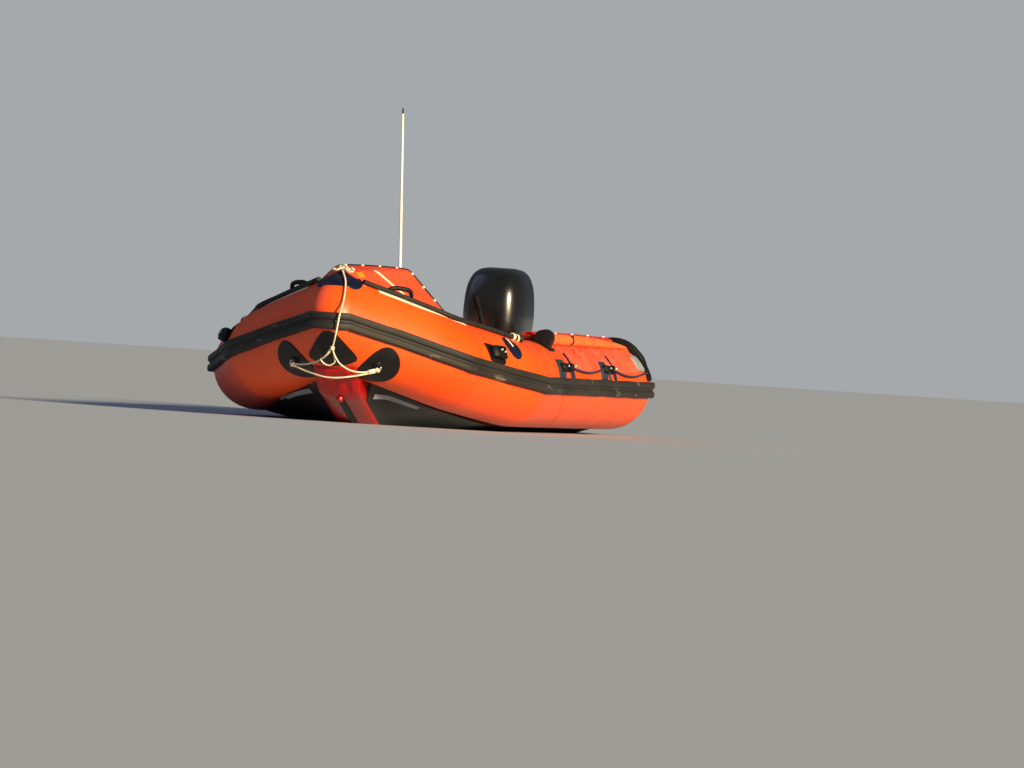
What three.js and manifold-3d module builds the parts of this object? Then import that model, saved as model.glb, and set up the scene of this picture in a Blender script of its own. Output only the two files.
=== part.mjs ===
// An inflatable inshore rescue boat, five metres long, afloat with its engine down.
// Millimetres: +X towards the bow, +Y to port, +Z up, with the origin on the waterline amidships.
import * as THREE from 'three';
import { mergeVertices } from 'three/addons/utils/BufferGeometryUtils.js';
import Module from 'manifold-3d';

const wasm = await Module();
wasm.setup();

// Driving dimensions of the hull
const BOW_X = 2500;
const STERN_X = -2500;
const HALF_BEAM = 1000;
const GAP = 0.3;
const RING_SIDES = 32;

// The buoyancy tubes and the rubbing strake around them
const TUBE_RADIUS = 245;
const NOSE_TUBE_RADIUS = 275;
const TUBE_AXIS_Z = 280;
const STRAKE_PROUD = 30;
const STRAKE_HALF_HEIGHT = 47.5;
const STRAKE_NOSE_RADIUS = 180;
const NOSE_STEPS = 8;
const CONE_START_X = -1880;
const CONE_TIP_RADIUS = 60;

// The strake's outer line in plan, from the nose aft: x, y, how far it rises, and the tube's radius
const NOSE_TANGENT = { x: 2450, y: 124, rise: 286, radius: NOSE_TUBE_RADIUS };
const SHOULDER = { x: 1884, y: 719, rise: 94, radius: 255 };
const BEAM_END = { x: 1132, y: HALF_BEAM, rise: 0, radius: TUBE_RADIUS };
const CONE_START = { x: CONE_START_X, y: HALF_BEAM, rise: 0, radius: TUBE_RADIUS };

// The deck, the transom and the bottom
const DECK_Z = 58;
const DECK_THICKNESS = 15;
const TRANSOM_X = -1775;
const TRANSOM_THICKNESS = 45;
const TRANSOM_TOP_Z = 500;
const TRANSOM_CUT_Z = 360;
const TRANSOM_PAD = 20;
const KEEL_HALF_WIDTH = 120;

// The dodger over the bow
const DODGER_AFT_X = 1450;
const DODGER_WALL = 12;

// The engine: its tilt axis, its steering axis and its propeller axis
const TILT_AXIS = { x: -1790, z: 408 };
const STEER_X = -1985;
const PROPELLER_Z = -360;
const PROPELLER_RADIUS = 140;
const SKEG_Z = -520;
const COWLING_Z = 460;
const COWLING_TOP_Z = 950;
const TILLER_ANGLE = 35;

const COLOURS = {
  orange: [0xf26a24, 0.6, 0],
  red: [0xc41a12, 0.6, 0],
  black: [0x17191b, 0.7, 0],
  navy: [0x1a2438, 0.7, 0],
  cream: [0xe6d2b4, 0.8, 0],
  white: [0xf2f2ee, 0.4, 0],
  deck: [0x3a3f42, 0.8, 0],
  steel: [0xb9bcbe, 0.35, 0.9],
  engine: [0x1b1d20, 0.35, 0.1],
};

const degrees = (angle) => (angle * Math.PI) / 180;
const point = (x, y, z) => new THREE.Vector3(x, y, z);

/** A closed geometry with one vertex at each point, its faces turned outwards. */
function closed(vertices, triangles) {
  let volume = 0;
  for (const [a, b, c] of triangles) {
    volume += vertices[a].dot(new THREE.Vector3().crossVectors(vertices[b], vertices[c]));
  }
  const order = volume < 0 ? ([a, b, c]) => [a, c, b] : (triangle) => triangle;
  const geometry = new THREE.BufferGeometry().setFromPoints(vertices);
  geometry.setIndex(triangles.flatMap(order));
  return geometry;
}

/** A skin through rings of equal length, closed by a flat fan at each end. */
function loft(rings, ends = []) {
  const sides = rings[0].length;
  const vertices = rings.flat();
  const triangles = [];
  for (let ring = 0; ring + 1 < rings.length; ring += 1) {
    for (let side = 0; side < sides; side += 1) {
      const next = (side + 1) % sides;
      const [a, b] = [ring * sides + side, ring * sides + next];
      triangles.push([a, b, b + sides], [a, b + sides, a + sides]);
    }
  }
  for (const [index, ring] of [[0, rings[0]], [1, rings[rings.length - 1]]]) {
    const middle = ends[index] ?? ring.reduce((sum, p) => sum.add(p), point(0, 0, 0)).divideScalar(sides);
    const first = index === 0 ? 0 : (rings.length - 1) * sides;
    for (let side = 0; side < sides; side += 1) {
      const edge = [first + side, first + ((side + 1) % sides)];
      triangles.push(index === 0 ? [edge[1], edge[0], vertices.length] : [...edge, vertices.length]);
    }
    vertices.push(middle);
  }
  return closed(vertices, triangles);
}

/** The same shape with only its points, each stored once. */
function merged(geometry) {
  const bare = geometry.clone();
  bare.deleteAttribute('normal');
  bare.deleteAttribute('uv');
  return mergeVertices(bare, 1e-3);
}

/** A solid for joining and cutting, made from a closed geometry. */
function solid(geometry) {
  const bare = merged(geometry);
  return new wasm.Manifold(new wasm.Mesh({
    numProp: 3,
    vertProperties: new Float32Array(bare.attributes.position.array),
    triVerts: new Uint32Array(bare.index.array),
  }));
}

/** The geometry of a joined or cut solid. */
function geometryOf(manifold) {
  const { vertProperties, triVerts } = manifold.getMesh();
  const geometry = new THREE.BufferGeometry();
  geometry.setAttribute('position', new THREE.BufferAttribute(vertProperties, 3));
  geometry.setIndex(new THREE.BufferAttribute(triVerts, 1));
  return geometry;
}

const join = (...geometries) => geometries.map(solid).reduce((sum, part) => sum.add(part));
const cut = (whole, ...cutters) => cutters.reduce((rest, cutter) => rest.subtract(cutter), whole);

/** A box from its lowest to its highest corner. */
function block(low, high) {
  const size = high.map((value, axis) => value - low[axis]);
  const geometry = new THREE.BoxGeometry(...size);
  return geometry.translate(...low.map((value, axis) => value + size[axis] / 2));
}

/** A round bar between two points. */
function bar(from, to, radius, endRadius = radius, sides = 16) {
  const run = new THREE.Vector3().subVectors(to, from);
  const geometry = new THREE.CylinderGeometry(endRadius, radius, run.length(), sides);
  geometry.applyQuaternion(new THREE.Quaternion().setFromUnitVectors(point(0, 1, 0), run.clone().normalize()));
  return geometry.translate(...new THREE.Vector3().addVectors(from, to).divideScalar(2).toArray());
}

/** A flat plate with an outline of [x, y] points, between two heights in either order. */
function plateFlat(outline, from, to) {
  const shape = new THREE.Shape(outline.map(([x, y]) => new THREE.Vector2(x, y)));
  const options = { depth: Math.abs(to - from), bevelEnabled: false };
  return new THREE.ExtrudeGeometry(shape, options).translate(0, 0, Math.min(from, to));
}

/** A plate with an outline of [y, z] points, between two places along X. */
function plateAcross(outline, from, to) {
  const turn = new THREE.Matrix4().makeBasis(point(0, 1, 0), point(0, 0, 1), point(1, 0, 0));
  return plateFlat(outline, from, to).applyMatrix4(turn);
}

/** A plate with an outline of [x, z] points, between two places along Y. */
function plateAlong(outline, from, to) {
  return plateFlat(outline, -to, -from).rotateX(Math.PI / 2);
}

/** A tube along a route of points, swept smoothly through them. */
function tubeAlong(route, radius, sides = 8, steps = 24) {
  const section = new THREE.Shape();
  section.absarc(0, 0, radius, 0, 2 * Math.PI);
  const curve = new THREE.CatmullRomCurve3(route, false, 'centripetal');
  return new THREE.ExtrudeGeometry(section, { extrudePath: curve, steps, curveSegments: sides / 2 });
}

// Plan geometry of the tubes
const planNormal = (fore, aft) => {
  const run = Math.hypot(fore.x - aft.x, aft.y - fore.y);
  return { x: (aft.y - fore.y) / run, y: (fore.x - aft.x) / run };
};
const FORE_NORMAL = planNormal(NOSE_TANGENT, SHOULDER);
const SHOULDER_NORMAL = planNormal(SHOULDER, BEAM_END);
const SIDE_NORMAL = { x: 0, y: 1 };

/** The direction across a mitre between two lengths, long enough to reach both outer lines. */
function mitre(one, other) {
  const scale = 1 + one.x * other.x + one.y * other.y;
  return { x: (one.x + other.x) / scale, y: (one.y + other.y) / scale };
}

/** A station: where the tube's axis is, and the direction in plan across it. */
function station(corner, across) {
  const inset = corner.radius + STRAKE_PROUD;
  return {
    x: corner.x - across.x * inset,
    y: corner.y - across.y * inset,
    z: TUBE_AXIS_Z + corner.rise,
    across,
    radius: corner.radius,
  };
}

const NOSE_INSET = NOSE_TUBE_RADIUS + STRAKE_PROUD;
const NOSE_AXIS_X = NOSE_TANGENT.x + (NOSE_TANGENT.y * FORE_NORMAL.y - NOSE_INSET) / FORE_NORMAL.x;
const NOSE_Z = TUBE_AXIS_Z + NOSE_TANGENT.rise;
const NOSE_FILLET = STRAKE_NOSE_RADIUS - NOSE_INSET;
const NOSE_FILLET_X = -NOSE_FILLET / FORE_NORMAL.x;

const NOSE_TURN = Math.atan2(FORE_NORMAL.y, FORE_NORMAL.x);

const SHOULDER_STATION = station(SHOULDER, mitre(FORE_NORMAL, SHOULDER_NORMAL));
const BEAM_STATION = station(BEAM_END, mitre(SHOULDER_NORMAL, SIDE_NORMAL));
const CONE_STATION = station(CONE_START, SIDE_NORMAL);

/** One ring of a tube at a station; grow makes it larger than the tube itself. */
function tubeRing(at, grow = 0) {
  return Array.from({ length: RING_SIDES }, (_, side) => {
    const angle = (2 * Math.PI * side) / RING_SIDES;
    const reach = (at.radius + grow) * Math.cos(angle);
    const height = (at.radius + grow) * Math.sin(angle);
    return point(at.x + at.across.x * reach, at.y + at.across.y * reach, at.z + height);
  });
}

/** How far a length runs past its mitre when it is grown to cut other pieces; its own end is short of it. */
const overrun = (grow) => (grow > 0 ? 3 : -GAP);

/** One ring moved on along the lines that reach it from another ring. */
const runOn = (ring, from, distance) => ring.map((p, side) => (
  p.clone().add(p.clone().sub(from[side]).setLength(1).multiplyScalar(distance))
));

/** The ring where a fore tube meets the nose in front and its twin behind. */
function noseRing(grow = 0) {
  return Array.from({ length: RING_SIDES }, (_, side) => {
    const angle = (2 * Math.PI * side) / RING_SIDES;
    const share = Math.cos(angle);
    const reach = (NOSE_TUBE_RADIUS + grow) * share;
    const fillet = (NOSE_TUBE_RADIUS + grow + NOSE_FILLET) * share;
    const z = NOSE_Z + (NOSE_TUBE_RADIUS + grow) * Math.sin(angle);
    if (share < 0.001) {
      return point(NOSE_AXIS_X + reach / FORE_NORMAL.x, 0, z);
    }
    return point(NOSE_AXIS_X + NOSE_FILLET_X * share + fillet * FORE_NORMAL.x, fillet * FORE_NORMAL.y, z);
  });
}

/** A fore tube, closed at the upright line where it meets its twin and the nose. */
function foreTube(grow) {
  const [fore, aft] = [noseRing(grow), tubeRing(SHOULDER_STATION, grow)];
  const aftAxis = point(SHOULDER_STATION.x, SHOULDER_STATION.y, NOSE_Z);
  const [middle] = runOn([point(NOSE_AXIS_X, 0, NOSE_Z)], [aftAxis], overrun(grow));
  return loft([runOn(fore, aft, overrun(grow)), runOn(aft, fore, overrun(grow))], [middle]);
}

/** A shoulder tube, from its own forward mitre. */
function shoulderTube(grow) {
  const [fore, aft] = [tubeRing(SHOULDER_STATION, grow), tubeRing(BEAM_STATION, grow)];
  return loft([fore, runOn(aft, fore, overrun(grow))]);
}

const CONE_STATIONS = [
  { x: CONE_START_X, radius: TUBE_RADIUS, z: 280 },
  { x: STERN_X + 60, radius: 88, z: 305 },
  { x: STERN_X + 22, radius: CONE_TIP_RADIUS + 6, z: 306 },
  { x: STERN_X, radius: 34, z: 307 },
].map((row) => ({ ...CONE_STATION, ...row }));

const TUBES = {
  fore_tube: foreTube,
  shoulder_tube: shoulderTube,
  side_tube: (grow) => loft([
    tubeRing(BEAM_STATION, grow),
    ...CONE_STATIONS.map((at) => tubeRing(at, grow)),
  ]),
};

/** The rounded nose that closes the two fore tubes. */
function noseBlock(grow = 0) {
  const rows = [];
  for (let side = -RING_SIDES / 4; side <= RING_SIDES / 4; side += 1) {
    const angle = (2 * Math.PI * side) / RING_SIDES;
    const share = Math.cos(angle);
    const fillet = (NOSE_TUBE_RADIUS + grow + NOSE_FILLET) * share;
    const height = (NOSE_TUBE_RADIUS + grow) * Math.sin(angle);
    rows.push(Array.from({ length: NOSE_STEPS + 1 }, (_, step) => {
      const turn = NOSE_TURN * ((2 * step) / NOSE_STEPS - 1);
      const x = NOSE_AXIS_X + NOSE_FILLET_X * share + fillet * Math.cos(turn);
      return point(x + GAP, fillet * Math.sin(turn), NOSE_Z + height);
    }));
  }
  const bottom = point(NOSE_AXIS_X + GAP, 0, NOSE_Z - NOSE_TUBE_RADIUS - grow);
  const top = point(NOSE_AXIS_X + GAP, 0, NOSE_Z + NOSE_TUBE_RADIUS + grow);
  const rings = rows.slice(1, -1).map((row) => [...row, point(NOSE_AXIS_X + GAP, 0, row[0].z)]);
  return loft(rings, [bottom, top]);
}

/** The strake's section, as [reach from the tube's skin, height], for a tube of one radius. */
function strakeSection(radius) {
  const scale = Math.min(1, radius / TUBE_RADIUS);
  const half = STRAKE_HALF_HEIGHT * scale;
  const fall = Math.tan(Math.PI / RING_SIDES) * half;
  return [
    [GAP * 2, 0], [GAP * 2 - fall, -half], [22 * scale, -half], [30 * scale, -half * 0.84],
    [30 * scale, -half * 0.22], [19 * scale, -half * 0.14], [19 * scale, half * 0.14],
    [30 * scale, half * 0.22], [30 * scale, half * 0.84], [22 * scale, half], [GAP * 2 - fall, half],
  ];
}

/** The strake's section at a station of the tube. */
function strakeRing(at) {
  return strakeSection(at.radius).map(([out, height]) => {
    const reach = at.radius + out;
    return point(at.x + at.across.x * reach, at.y + at.across.y * reach, at.z + height);
  });
}

/** The strake's section at the nose, turned in plan. */
function strakeNoseRing(turn) {
  return strakeSection(NOSE_TUBE_RADIUS).map(([out, height]) => {
    const fillet = NOSE_TUBE_RADIUS + NOSE_FILLET + out;
    const x = NOSE_AXIS_X + NOSE_FILLET_X + fillet * Math.cos(turn);
    return point(x + GAP, fillet * Math.sin(turn), NOSE_Z + height);
  });
}

const STRAKE_END = { ...CONE_STATION, x: -2330, radius: 118.6, z: 300.1 };
const strakePort = () => loft([
  strakeNoseRing(NOSE_TURN).map((p) => point(p.x - GAP * 1.5, p.y + GAP, p.z)),
  strakeRing(SHOULDER_STATION),
  strakeRing(BEAM_STATION),
  strakeRing(CONE_STATION),
  strakeRing(STRAKE_END),
]);
const strakeBow = () => loft(Array.from({ length: NOSE_STEPS + 1 }, (_, step) => (
  strakeNoseRing(NOSE_TURN * 0.999 * ((2 * step) / NOSE_STEPS - 1))
)));

// The tubes, a little larger than they are, cut the pieces that rest against them.
const reflect = (geometry) => {
  const copy = merged(geometry).scale(1, -1, 1);
  const turned = Array.from(copy.index.array);
  for (let first = 0; first < turned.length; first += 3) {
    [turned[first + 1], turned[first + 2]] = [turned[first + 2], turned[first + 1]];
  }
  return copy.setIndex(turned);
};
const CUT_GAP = 0.5;
const grownTubes = Object.values(TUBES).flatMap((make) => [make(CUT_GAP), reflect(make(CUT_GAP))]);
const sponson = [...grownTubes, noseBlock(CUT_GAP)].map(solid);
const againstTubes = (geometry) => cut(solid(geometry), ...sponson);

// The deck is level up to the ramp under the dodger.
const RAMP_START_X = 1160;
const RAMP_END = { x: 1935, z: 314 };
const RAMP_SLOPE = (RAMP_END.z - DECK_Z) / (RAMP_END.x - RAMP_START_X);
const deckUnderside = (x) => DECK_Z + Math.max(0, x - RAMP_START_X) * RAMP_SLOPE;

// The keel's and bottom's stations: x, keel bottom z, chine y and z
const KEEL_BELLY = 34;
const BOTTOM_STATIONS = [
  { x: TRANSOM_X + GAP, keel: -180, chineY: 650, chineZ: 32 },
  { x: 300, keel: -180, chineY: 650, chineZ: 32 },
  { x: 900, keel: -160, chineY: 650, chineZ: 32 },
  { x: RAMP_START_X, keel: -122, chineY: 630, chineZ: 36 },
  { x: 1440, keel: -77, chineY: 500, chineZ: 80 },
  { x: 1681, keel: 6, chineY: 411, chineZ: 117 },
  { x: RAMP_END.x, keel: 92, chineY: 150, chineZ: 235 },
].map((row) => ({ ...row, top: deckUnderside(row.x), halfWidth: KEEL_HALF_WIDTH }));
const KEEL_TIP = [
  { x: 2090, keel: 146, top: 340, halfWidth: 112 },
  { x: 2225, keel: 250, top: 340, halfWidth: 70 },
];

/** The keel's section: a round belly below two upright flanks. */
function keelRing({ x, keel, top, halfWidth }) {
  const belly = Array.from({ length: 13 }, (_, step) => {
    const angle = Math.PI * (step / 12);
    return point(x, halfWidth * Math.cos(angle), keel + KEEL_BELLY * (1 - Math.sin(angle)));
  });
  return [...belly, point(x, -halfWidth, top - GAP), point(x, halfWidth, top - GAP)];
}

const keelTube = () => againstTubes(loft([...BOTTOM_STATIONS, ...KEEL_TIP].map(keelRing)));

/** One side of the bottom, from the keel's flank to the tube. */
function bottomSide() {
  const inner = KEEL_HALF_WIDTH + GAP;
  return againstTubes(loft(BOTTOM_STATIONS.map(({ x, keel, top, chineY, chineZ }) => [
    point(x, inner, top - GAP),
    point(x, Math.max(chineY - 20, inner + 10), top - GAP),
    point(x, Math.max(chineY, inner + 12), Math.min(chineZ, top - 4)),
    point(x, inner, keel + KEEL_BELLY),
  ])));
}

/** The rubber strip along the middle of the keel, with a knob at its top. */
function keelStrip() {
  const half = 20;
  const rings = [...BOTTOM_STATIONS, ...KEEL_TIP].slice(0, -1).map(({ x, keel }) => [
    point(x, half, keel + 1 - GAP), point(x, -half, keel + 1 - GAP),
    point(x, -half + 4, keel - 7), point(x, half - 4, keel - 7),
  ]);
  return cut(solid(loft(rings)), solid(loft([...BOTTOM_STATIONS, ...KEEL_TIP].map((row) => (
    keelRing({ ...row, keel: row.keel - GAP })
  )))));
}

// The deck panels lie between these lines: x, underside z, and a half width that ends inside the tubes
const DECK_LINES = [
  { x: TRANSOM_X + GAP, z: DECK_Z, half: 640 },
  { x: -750, z: DECK_Z, half: 640 },
  { x: 275, z: DECK_Z, half: 640 },
  { x: RAMP_START_X, z: DECK_Z, half: 640 },
  { ...RAMP_END, half: 230 },
];

/** One deck panel between two lines, cut to the tubes. */
function deckPanel(aft, fore) {
  const edges = [{ ...aft, x: aft.x + GAP }, { ...fore, x: fore.x - GAP }];
  return againstTubes(loft(edges.map(({ x, z, half }) => [
    point(x, -half, z),
    point(x, half, z),
    point(x, half, z + DECK_THICKNESS),
    point(x, -half, z + DECK_THICKNESS),
  ])));
}

/** The transom with its engine pads, its two knees and its drain socks. */
function transom() {
  const [front, back] = [TRANSOM_X, TRANSOM_X - TRANSOM_THICKNESS];
  const half = [[0, -184], [90, -172], [125, -146], [640, 30], [600, TRANSOM_TOP_Z], [250, TRANSOM_TOP_Z],
    [215, TRANSOM_CUT_Z]];
  const outline = [...half, ...half.slice(1).reverse().map(([y, z]) => [-y, z])];
  const plate = againstTubes(plateAcross(outline, back, front));
  const pads = [
    block([front - 1, -150, 110], [front + 14, 150, TRANSOM_CUT_Z]),
    block([back - TRANSOM_PAD, -170, 40], [back + 1, 170, TRANSOM_CUT_Z]),
  ];
  const kneeOutline = [[front - 1, DECK_Z + DECK_THICKNESS + 1], [front + 230, DECK_Z + DECK_THICKNESS + 1],
    [front + 230, 100], [front + 20, 290], [front - 1, 290]];
  const knees = [-1, 1].map((side) => plateAlong(kneeOutline, side * 395, side * 420));
  const socks = [-300, 300].map((y) => bar(point(back + 1, y, 110), point(back - 150, y, 60), 58, 46));
  return [...pads, ...knees, ...socks].map(solid).reduce((sum, piece) => sum.add(piece), plate);
}

// The dodger's sections from the nose aft: x, the top corner's y and z, the foot's y and z
const DODGER_SECTIONS = [
  { x: 2188, topY: 62, topZ: 852, footY: 105, footZ: 788 },
  { x: 1950, topY: 105, topZ: 862, footY: 235, footZ: 730 },
  { x: 1700, topY: 155, topZ: 872, footY: 380, footZ: 660 },
  { x: DODGER_AFT_X, topY: 205, topZ: 882, footY: 500, footZ: 610 },
];

/** One section of the dodger, drawn in by a distance, down to below its feet. */
function dodgerRing({ x, topY, topZ, footY, footZ }, inset) {
  const low = footZ - 140;
  const half = [[footY - inset, low], [footY - inset, footZ - inset], [topY + 18 - inset, topZ - 18 - inset],
    [topY - inset, topZ - inset]];
  return [...half, ...half.slice().reverse().map(([y, z]) => [-y, z])].map(([y, z]) => point(x, y, z));
}

/** The fabric cover over the bow: a hollow tent, open aft and seated on the tubes. */
function dodger() {
  const outer = againstTubes(loft(DODGER_SECTIONS.map((row) => dodgerRing(row, 0))));
  const inside = DODGER_SECTIONS.map((row, index) => ({
    ...row,
    x: index === 0 ? row.x - 40 : row.x - (index === DODGER_SECTIONS.length - 1 ? 20 : 0),
  }));
  const inner = loft(inside.map((row) => (
    dodgerRing(row, DODGER_WALL).map((p) => (p.z < row.footZ - 100 ? point(p.x, p.y, -50) : p))
  )));
  return outer.subtract(solid(inner));
}

/** A rounded outline in plan at one height. */
function roundedRing(x, halfLength, halfWidth, z, sides = 24, squareness = 0.62) {
  return Array.from({ length: sides }, (_, side) => {
    const angle = (2 * Math.PI * side) / sides;
    const [c, s] = [Math.cos(angle), Math.sin(angle)];
    const px = Math.sign(c) * Math.abs(c) ** squareness * halfLength;
    const py = Math.sign(s) * Math.abs(s) ** squareness * halfWidth;
    return point(x + px, py, z);
  });
}

// The cowling's levels: z, its middle in x, half length and half width
const COWLING_LEVELS = [
  { z: COWLING_Z, x: -2000, halfLength: 225, halfWidth: 138 },
  { z: 500, x: -1995, halfLength: 275, halfWidth: 172 },
  { z: 640, x: -1993, halfLength: 295, halfWidth: 190 },
  { z: 800, x: -1998, halfLength: 285, halfWidth: 184 },
  { z: 890, x: -2008, halfLength: 250, halfWidth: 160 },
  { z: 935, x: -2020, halfLength: 195, halfWidth: 120 },
  { z: COWLING_TOP_Z, x: -2028, halfLength: 120, halfWidth: 70 },
];

/** The cowling, with the two cheeks that carry the tiller's pivot. */
function cowling() {
  const cover = loft(COWLING_LEVELS.map(({ z, x, halfLength, halfWidth }) => (
    roundedRing(x, halfLength, halfWidth, z)
  )));
  const cheek = [[-1760, 462], [-1668, 490], [-1648, 512], [-1668, 534], [-1760, 534]];
  const cheeks = [-1, 1].map((side) => plateAlong(cheek, side * 30, side * 44));
  return join(cover, ...cheeks);
}

/** The leg: yokes above and below the swivel, and the long housing behind it. */
function leg() {
  const levels = [
    { z: COWLING_Z - GAP, x: -2080, halfLength: 80, halfWidth: 80 },
    { z: 360, x: -2105, halfLength: 70, halfWidth: 62 },
    { z: 60, x: -2110, halfLength: 72, halfWidth: 48 },
    { z: -205, x: -2105, halfLength: 90, halfWidth: 34 },
  ];
  const housing = loft(levels.map(({ z, x, halfLength, halfWidth }) => (
    roundedRing(x, halfLength, halfWidth, z, 20, 0.8)
  )));
  const yokes = [[362, 440], [30, 66]].flatMap(([low, high]) => [
    bar(point(STEER_X, 0, low), point(STEER_X, 0, high), 38),
    block([-2110, -30, low], [STEER_X, 30, high]),
  ]);
  const half = [[-2010, 45], [-2120, 95], [-2330, 90], [-2345, 40]];
  const outline = [[-1990, 0], ...half, ...half.slice().reverse().map(([x, y]) => [x, -y])];
  const plate = plateFlat(outline, -212, -202);
  return join(housing, ...yokes, plate);
}

/** The gearcase: the strut, the torpedo that carries the propeller, and the skeg. */
function gearcase() {
  const strut = loft([
    { z: -212 - GAP, halfLength: 92, halfWidth: 24 }, { z: -330, halfLength: 84, halfWidth: 20 },
  ].map(({ z, halfLength, halfWidth }) => roundedRing(-2105, halfLength, halfWidth, z, 20, 0.8)));
  const profile = [[0, -150], [22, -138], [38, -105], [45, -50], [45, 95], [40, 120], [0, 120]];
  const torpedo = new THREE.LatheGeometry(profile.map(([r, y]) => new THREE.Vector2(r, y)), 20);
  torpedo.rotateZ(Math.PI / 2).translate(-2080, 0, PROPELLER_Z);
  const skegOutline = [[-2010, -380], [-2040, -500], [-2065, SKEG_Z], [-2110, SKEG_Z], [-2165, -380]];
  const skeg = plateAlong(skegOutline, -6, 6);
  return join(strut, torpedo, skeg);
}

/** The propeller: a hub and three blades. */
function propeller() {
  const x = -2268;
  const hub = bar(point(x + 60, 0, 0), point(x - 55, 0, 0), 42, 34, 20);
  const blades = [0, 120, 240].map((turn) => {
    const rings = [[30, 40, 34], [80, 58, 28], [120, 46, 20], [PROPELLER_RADIUS, 16, 14]].map(([r, half, pitch]) => {
      const [c, s] = [Math.cos(degrees(pitch + 30)), Math.sin(degrees(pitch + 30))];
      return [[-half, -3], [half, -3], [half, 3], [-half, 3]].map(([u, v]) => (
        point(x + (u * s - v * c) * 0.75, u * c + v * s, r)
      ));
    });
    return loft(rings).rotateX(degrees(turn));
  });
  return geometryOf(join(hub, ...blades)).translate(0, 0, PROPELLER_Z);
}

/** The clamp bracket on the transom: two cheeks, a cross bar behind and two screws in front. */
function clampBracket() {
  const back = TRANSOM_X - TRANSOM_THICKNESS - TRANSOM_PAD - GAP;
  const front = TRANSOM_X + 14 + GAP;
  const top = TRANSOM_CUT_Z + GAP;
  const cheek = [[back, 140], [back - 34, 150], [back - 34, 330], [TILT_AXIS.x - 46, 420],
    [TILT_AXIS.x - 20, 446],
    [TILT_AXIS.x + 22, 446], [front + 26, 410], [front + 26, 190], [front, 190], [front, top], [back, top]];
  const cheeks = [-1, 1].map((side) => plateAlong(cheek, side * 94, side * 116));
  const crossBar = bar(point(back - 18, -100, 170), point(back - 18, 100, 170), 13);
  const screws = [-1, 1].flatMap((side) => [
    bar(point(front + 1, side * 105, 240), point(front + 70, side * 105, 240), 11),
    bar(point(front + 62, side * 105 - 32, 240), point(front + 62, side * 105 + 32, 240), 6),
  ]);
  return join(...cheeks, crossBar, ...screws);
}

/** The swivel bracket: the tilt tube, an arm over the transom and the steering tube. */
function swivelBracket() {
  const tiltTube = bar(point(TILT_AXIS.x, -89, TILT_AXIS.z), point(TILT_AXIS.x, 89, TILT_AXIS.z), 22, 22, 20);
  const arm = [[TILT_AXIS.x, 388], [-1850, 374], [-1962, 120], [-1990, 120], [-1990, 352], [-1925, 352],
    [-1860, 418], [TILT_AXIS.x, 428]];
  const arms = [-1, 1].map((side) => plateAlong(arm, side * 30, side * 52));
  const web = plateAlong([[-1950, 160], [-1985, 150], [-1985, 350], [-1925, 350]], -45, 45);
  const steeringTube = bar(point(STEER_X, 0, 74), point(STEER_X, 0, 354), 33, 33, 20);
  return join(tiltTube, ...arms, web, steeringTube);
}

/** The tiller: a boss at the front of the engine and the long handle with its grip. */
const TILLER_PIVOT = { x: -1668, z: 512 };
function tiller() {
  const along = (run, lift = 0) => point(
    TILLER_PIVOT.x + run * Math.cos(degrees(TILLER_ANGLE)) - lift * Math.sin(degrees(TILLER_ANGLE)),
    0,
    TILLER_PIVOT.z + run * Math.sin(degrees(TILLER_ANGLE)) + lift * Math.cos(degrees(TILLER_ANGLE)),
  );
  const boss = bar(point(TILLER_PIVOT.x, -24, TILLER_PIVOT.z), point(TILLER_PIVOT.x, 24, TILLER_PIVOT.z), 20);
  const handle = bar(along(0), along(330), 18, 14);
  const grip = bar(along(325), along(455), 20, 20);
  return join(boss, handle, grip);
}

// The aerial: its foot on the transom, its length and its lean outboard
const AERIAL = { x: -1797, y: -560, z: 600, length: 1262, lean: 2.7 };
const aerialPoint = (run) => point(
  AERIAL.x,
  AERIAL.y - run * Math.sin(degrees(AERIAL.lean)),
  AERIAL.z + run * Math.cos(degrees(AERIAL.lean)),
);
function aerialMount() {
  const base = block([AERIAL.x - 20, AERIAL.y - 26, TRANSOM_TOP_Z + GAP], [AERIAL.x + 20, AERIAL.y + 26, 530]);
  const cheeks = [-1, 1].map((side) => (
    block([AERIAL.x - 14, AERIAL.y + side * 22 - 4, 525], [AERIAL.x + 14, AERIAL.y + side * 22 + 4, 612])
  ));
  return join(base, ...cheeks);
}
function aerialWhip() {
  const lug = bar(
    point(AERIAL.x, AERIAL.y - 11, AERIAL.z), point(AERIAL.x, AERIAL.y + 11, AERIAL.z), 12,
  );
  const ferrule = bar(aerialPoint(0), aerialPoint(130), 11, 9, 12);
  const rod = bar(aerialPoint(125), aerialPoint(AERIAL.length), 8, 4, 10);
  return join(lug, ferrule, rod);
}

/** A flexible fuel bag that lies on the bow deck, under the dodger. */
const fuelBag = () => loft([
  { z: 235, grow: -60 }, { z: 265, grow: 0 }, { z: 330, grow: 10 }, { z: 375, grow: -50 },
].map(({ z, grow }) => roundedRing(1560, 150 + grow, 190 + grow, z)));

// The lengths of port tube, each from its forward to its aft station
const LENGTHS = {
  shoulder: [SHOULDER_STATION, BEAM_STATION],
  side: [BEAM_STATION, CONE_STATION],
};

/** A point on a station's ring, at an angle above the strake and a distance off the skin. */
function ringPoint(at, angle, out) {
  const reach = (at.radius + out) * Math.cos(degrees(angle));
  const height = (at.radius + out) * Math.sin(degrees(angle));
  return point(at.x + at.across.x * reach, at.y + at.across.y * reach, at.z + height);
}

/** The same on the ring where a fore tube meets the nose. */
function noseRingPoint(angle, out) {
  const share = Math.cos(degrees(angle));
  const fillet = (NOSE_TUBE_RADIUS + out + NOSE_FILLET) * share;
  const x = NOSE_AXIS_X + NOSE_FILLET_X * share + fillet * FORE_NORMAL.x;
  return point(x, fillet * FORE_NORMAL.y, NOSE_Z + (NOSE_TUBE_RADIUS + out) * Math.sin(degrees(angle)));
}

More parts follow.
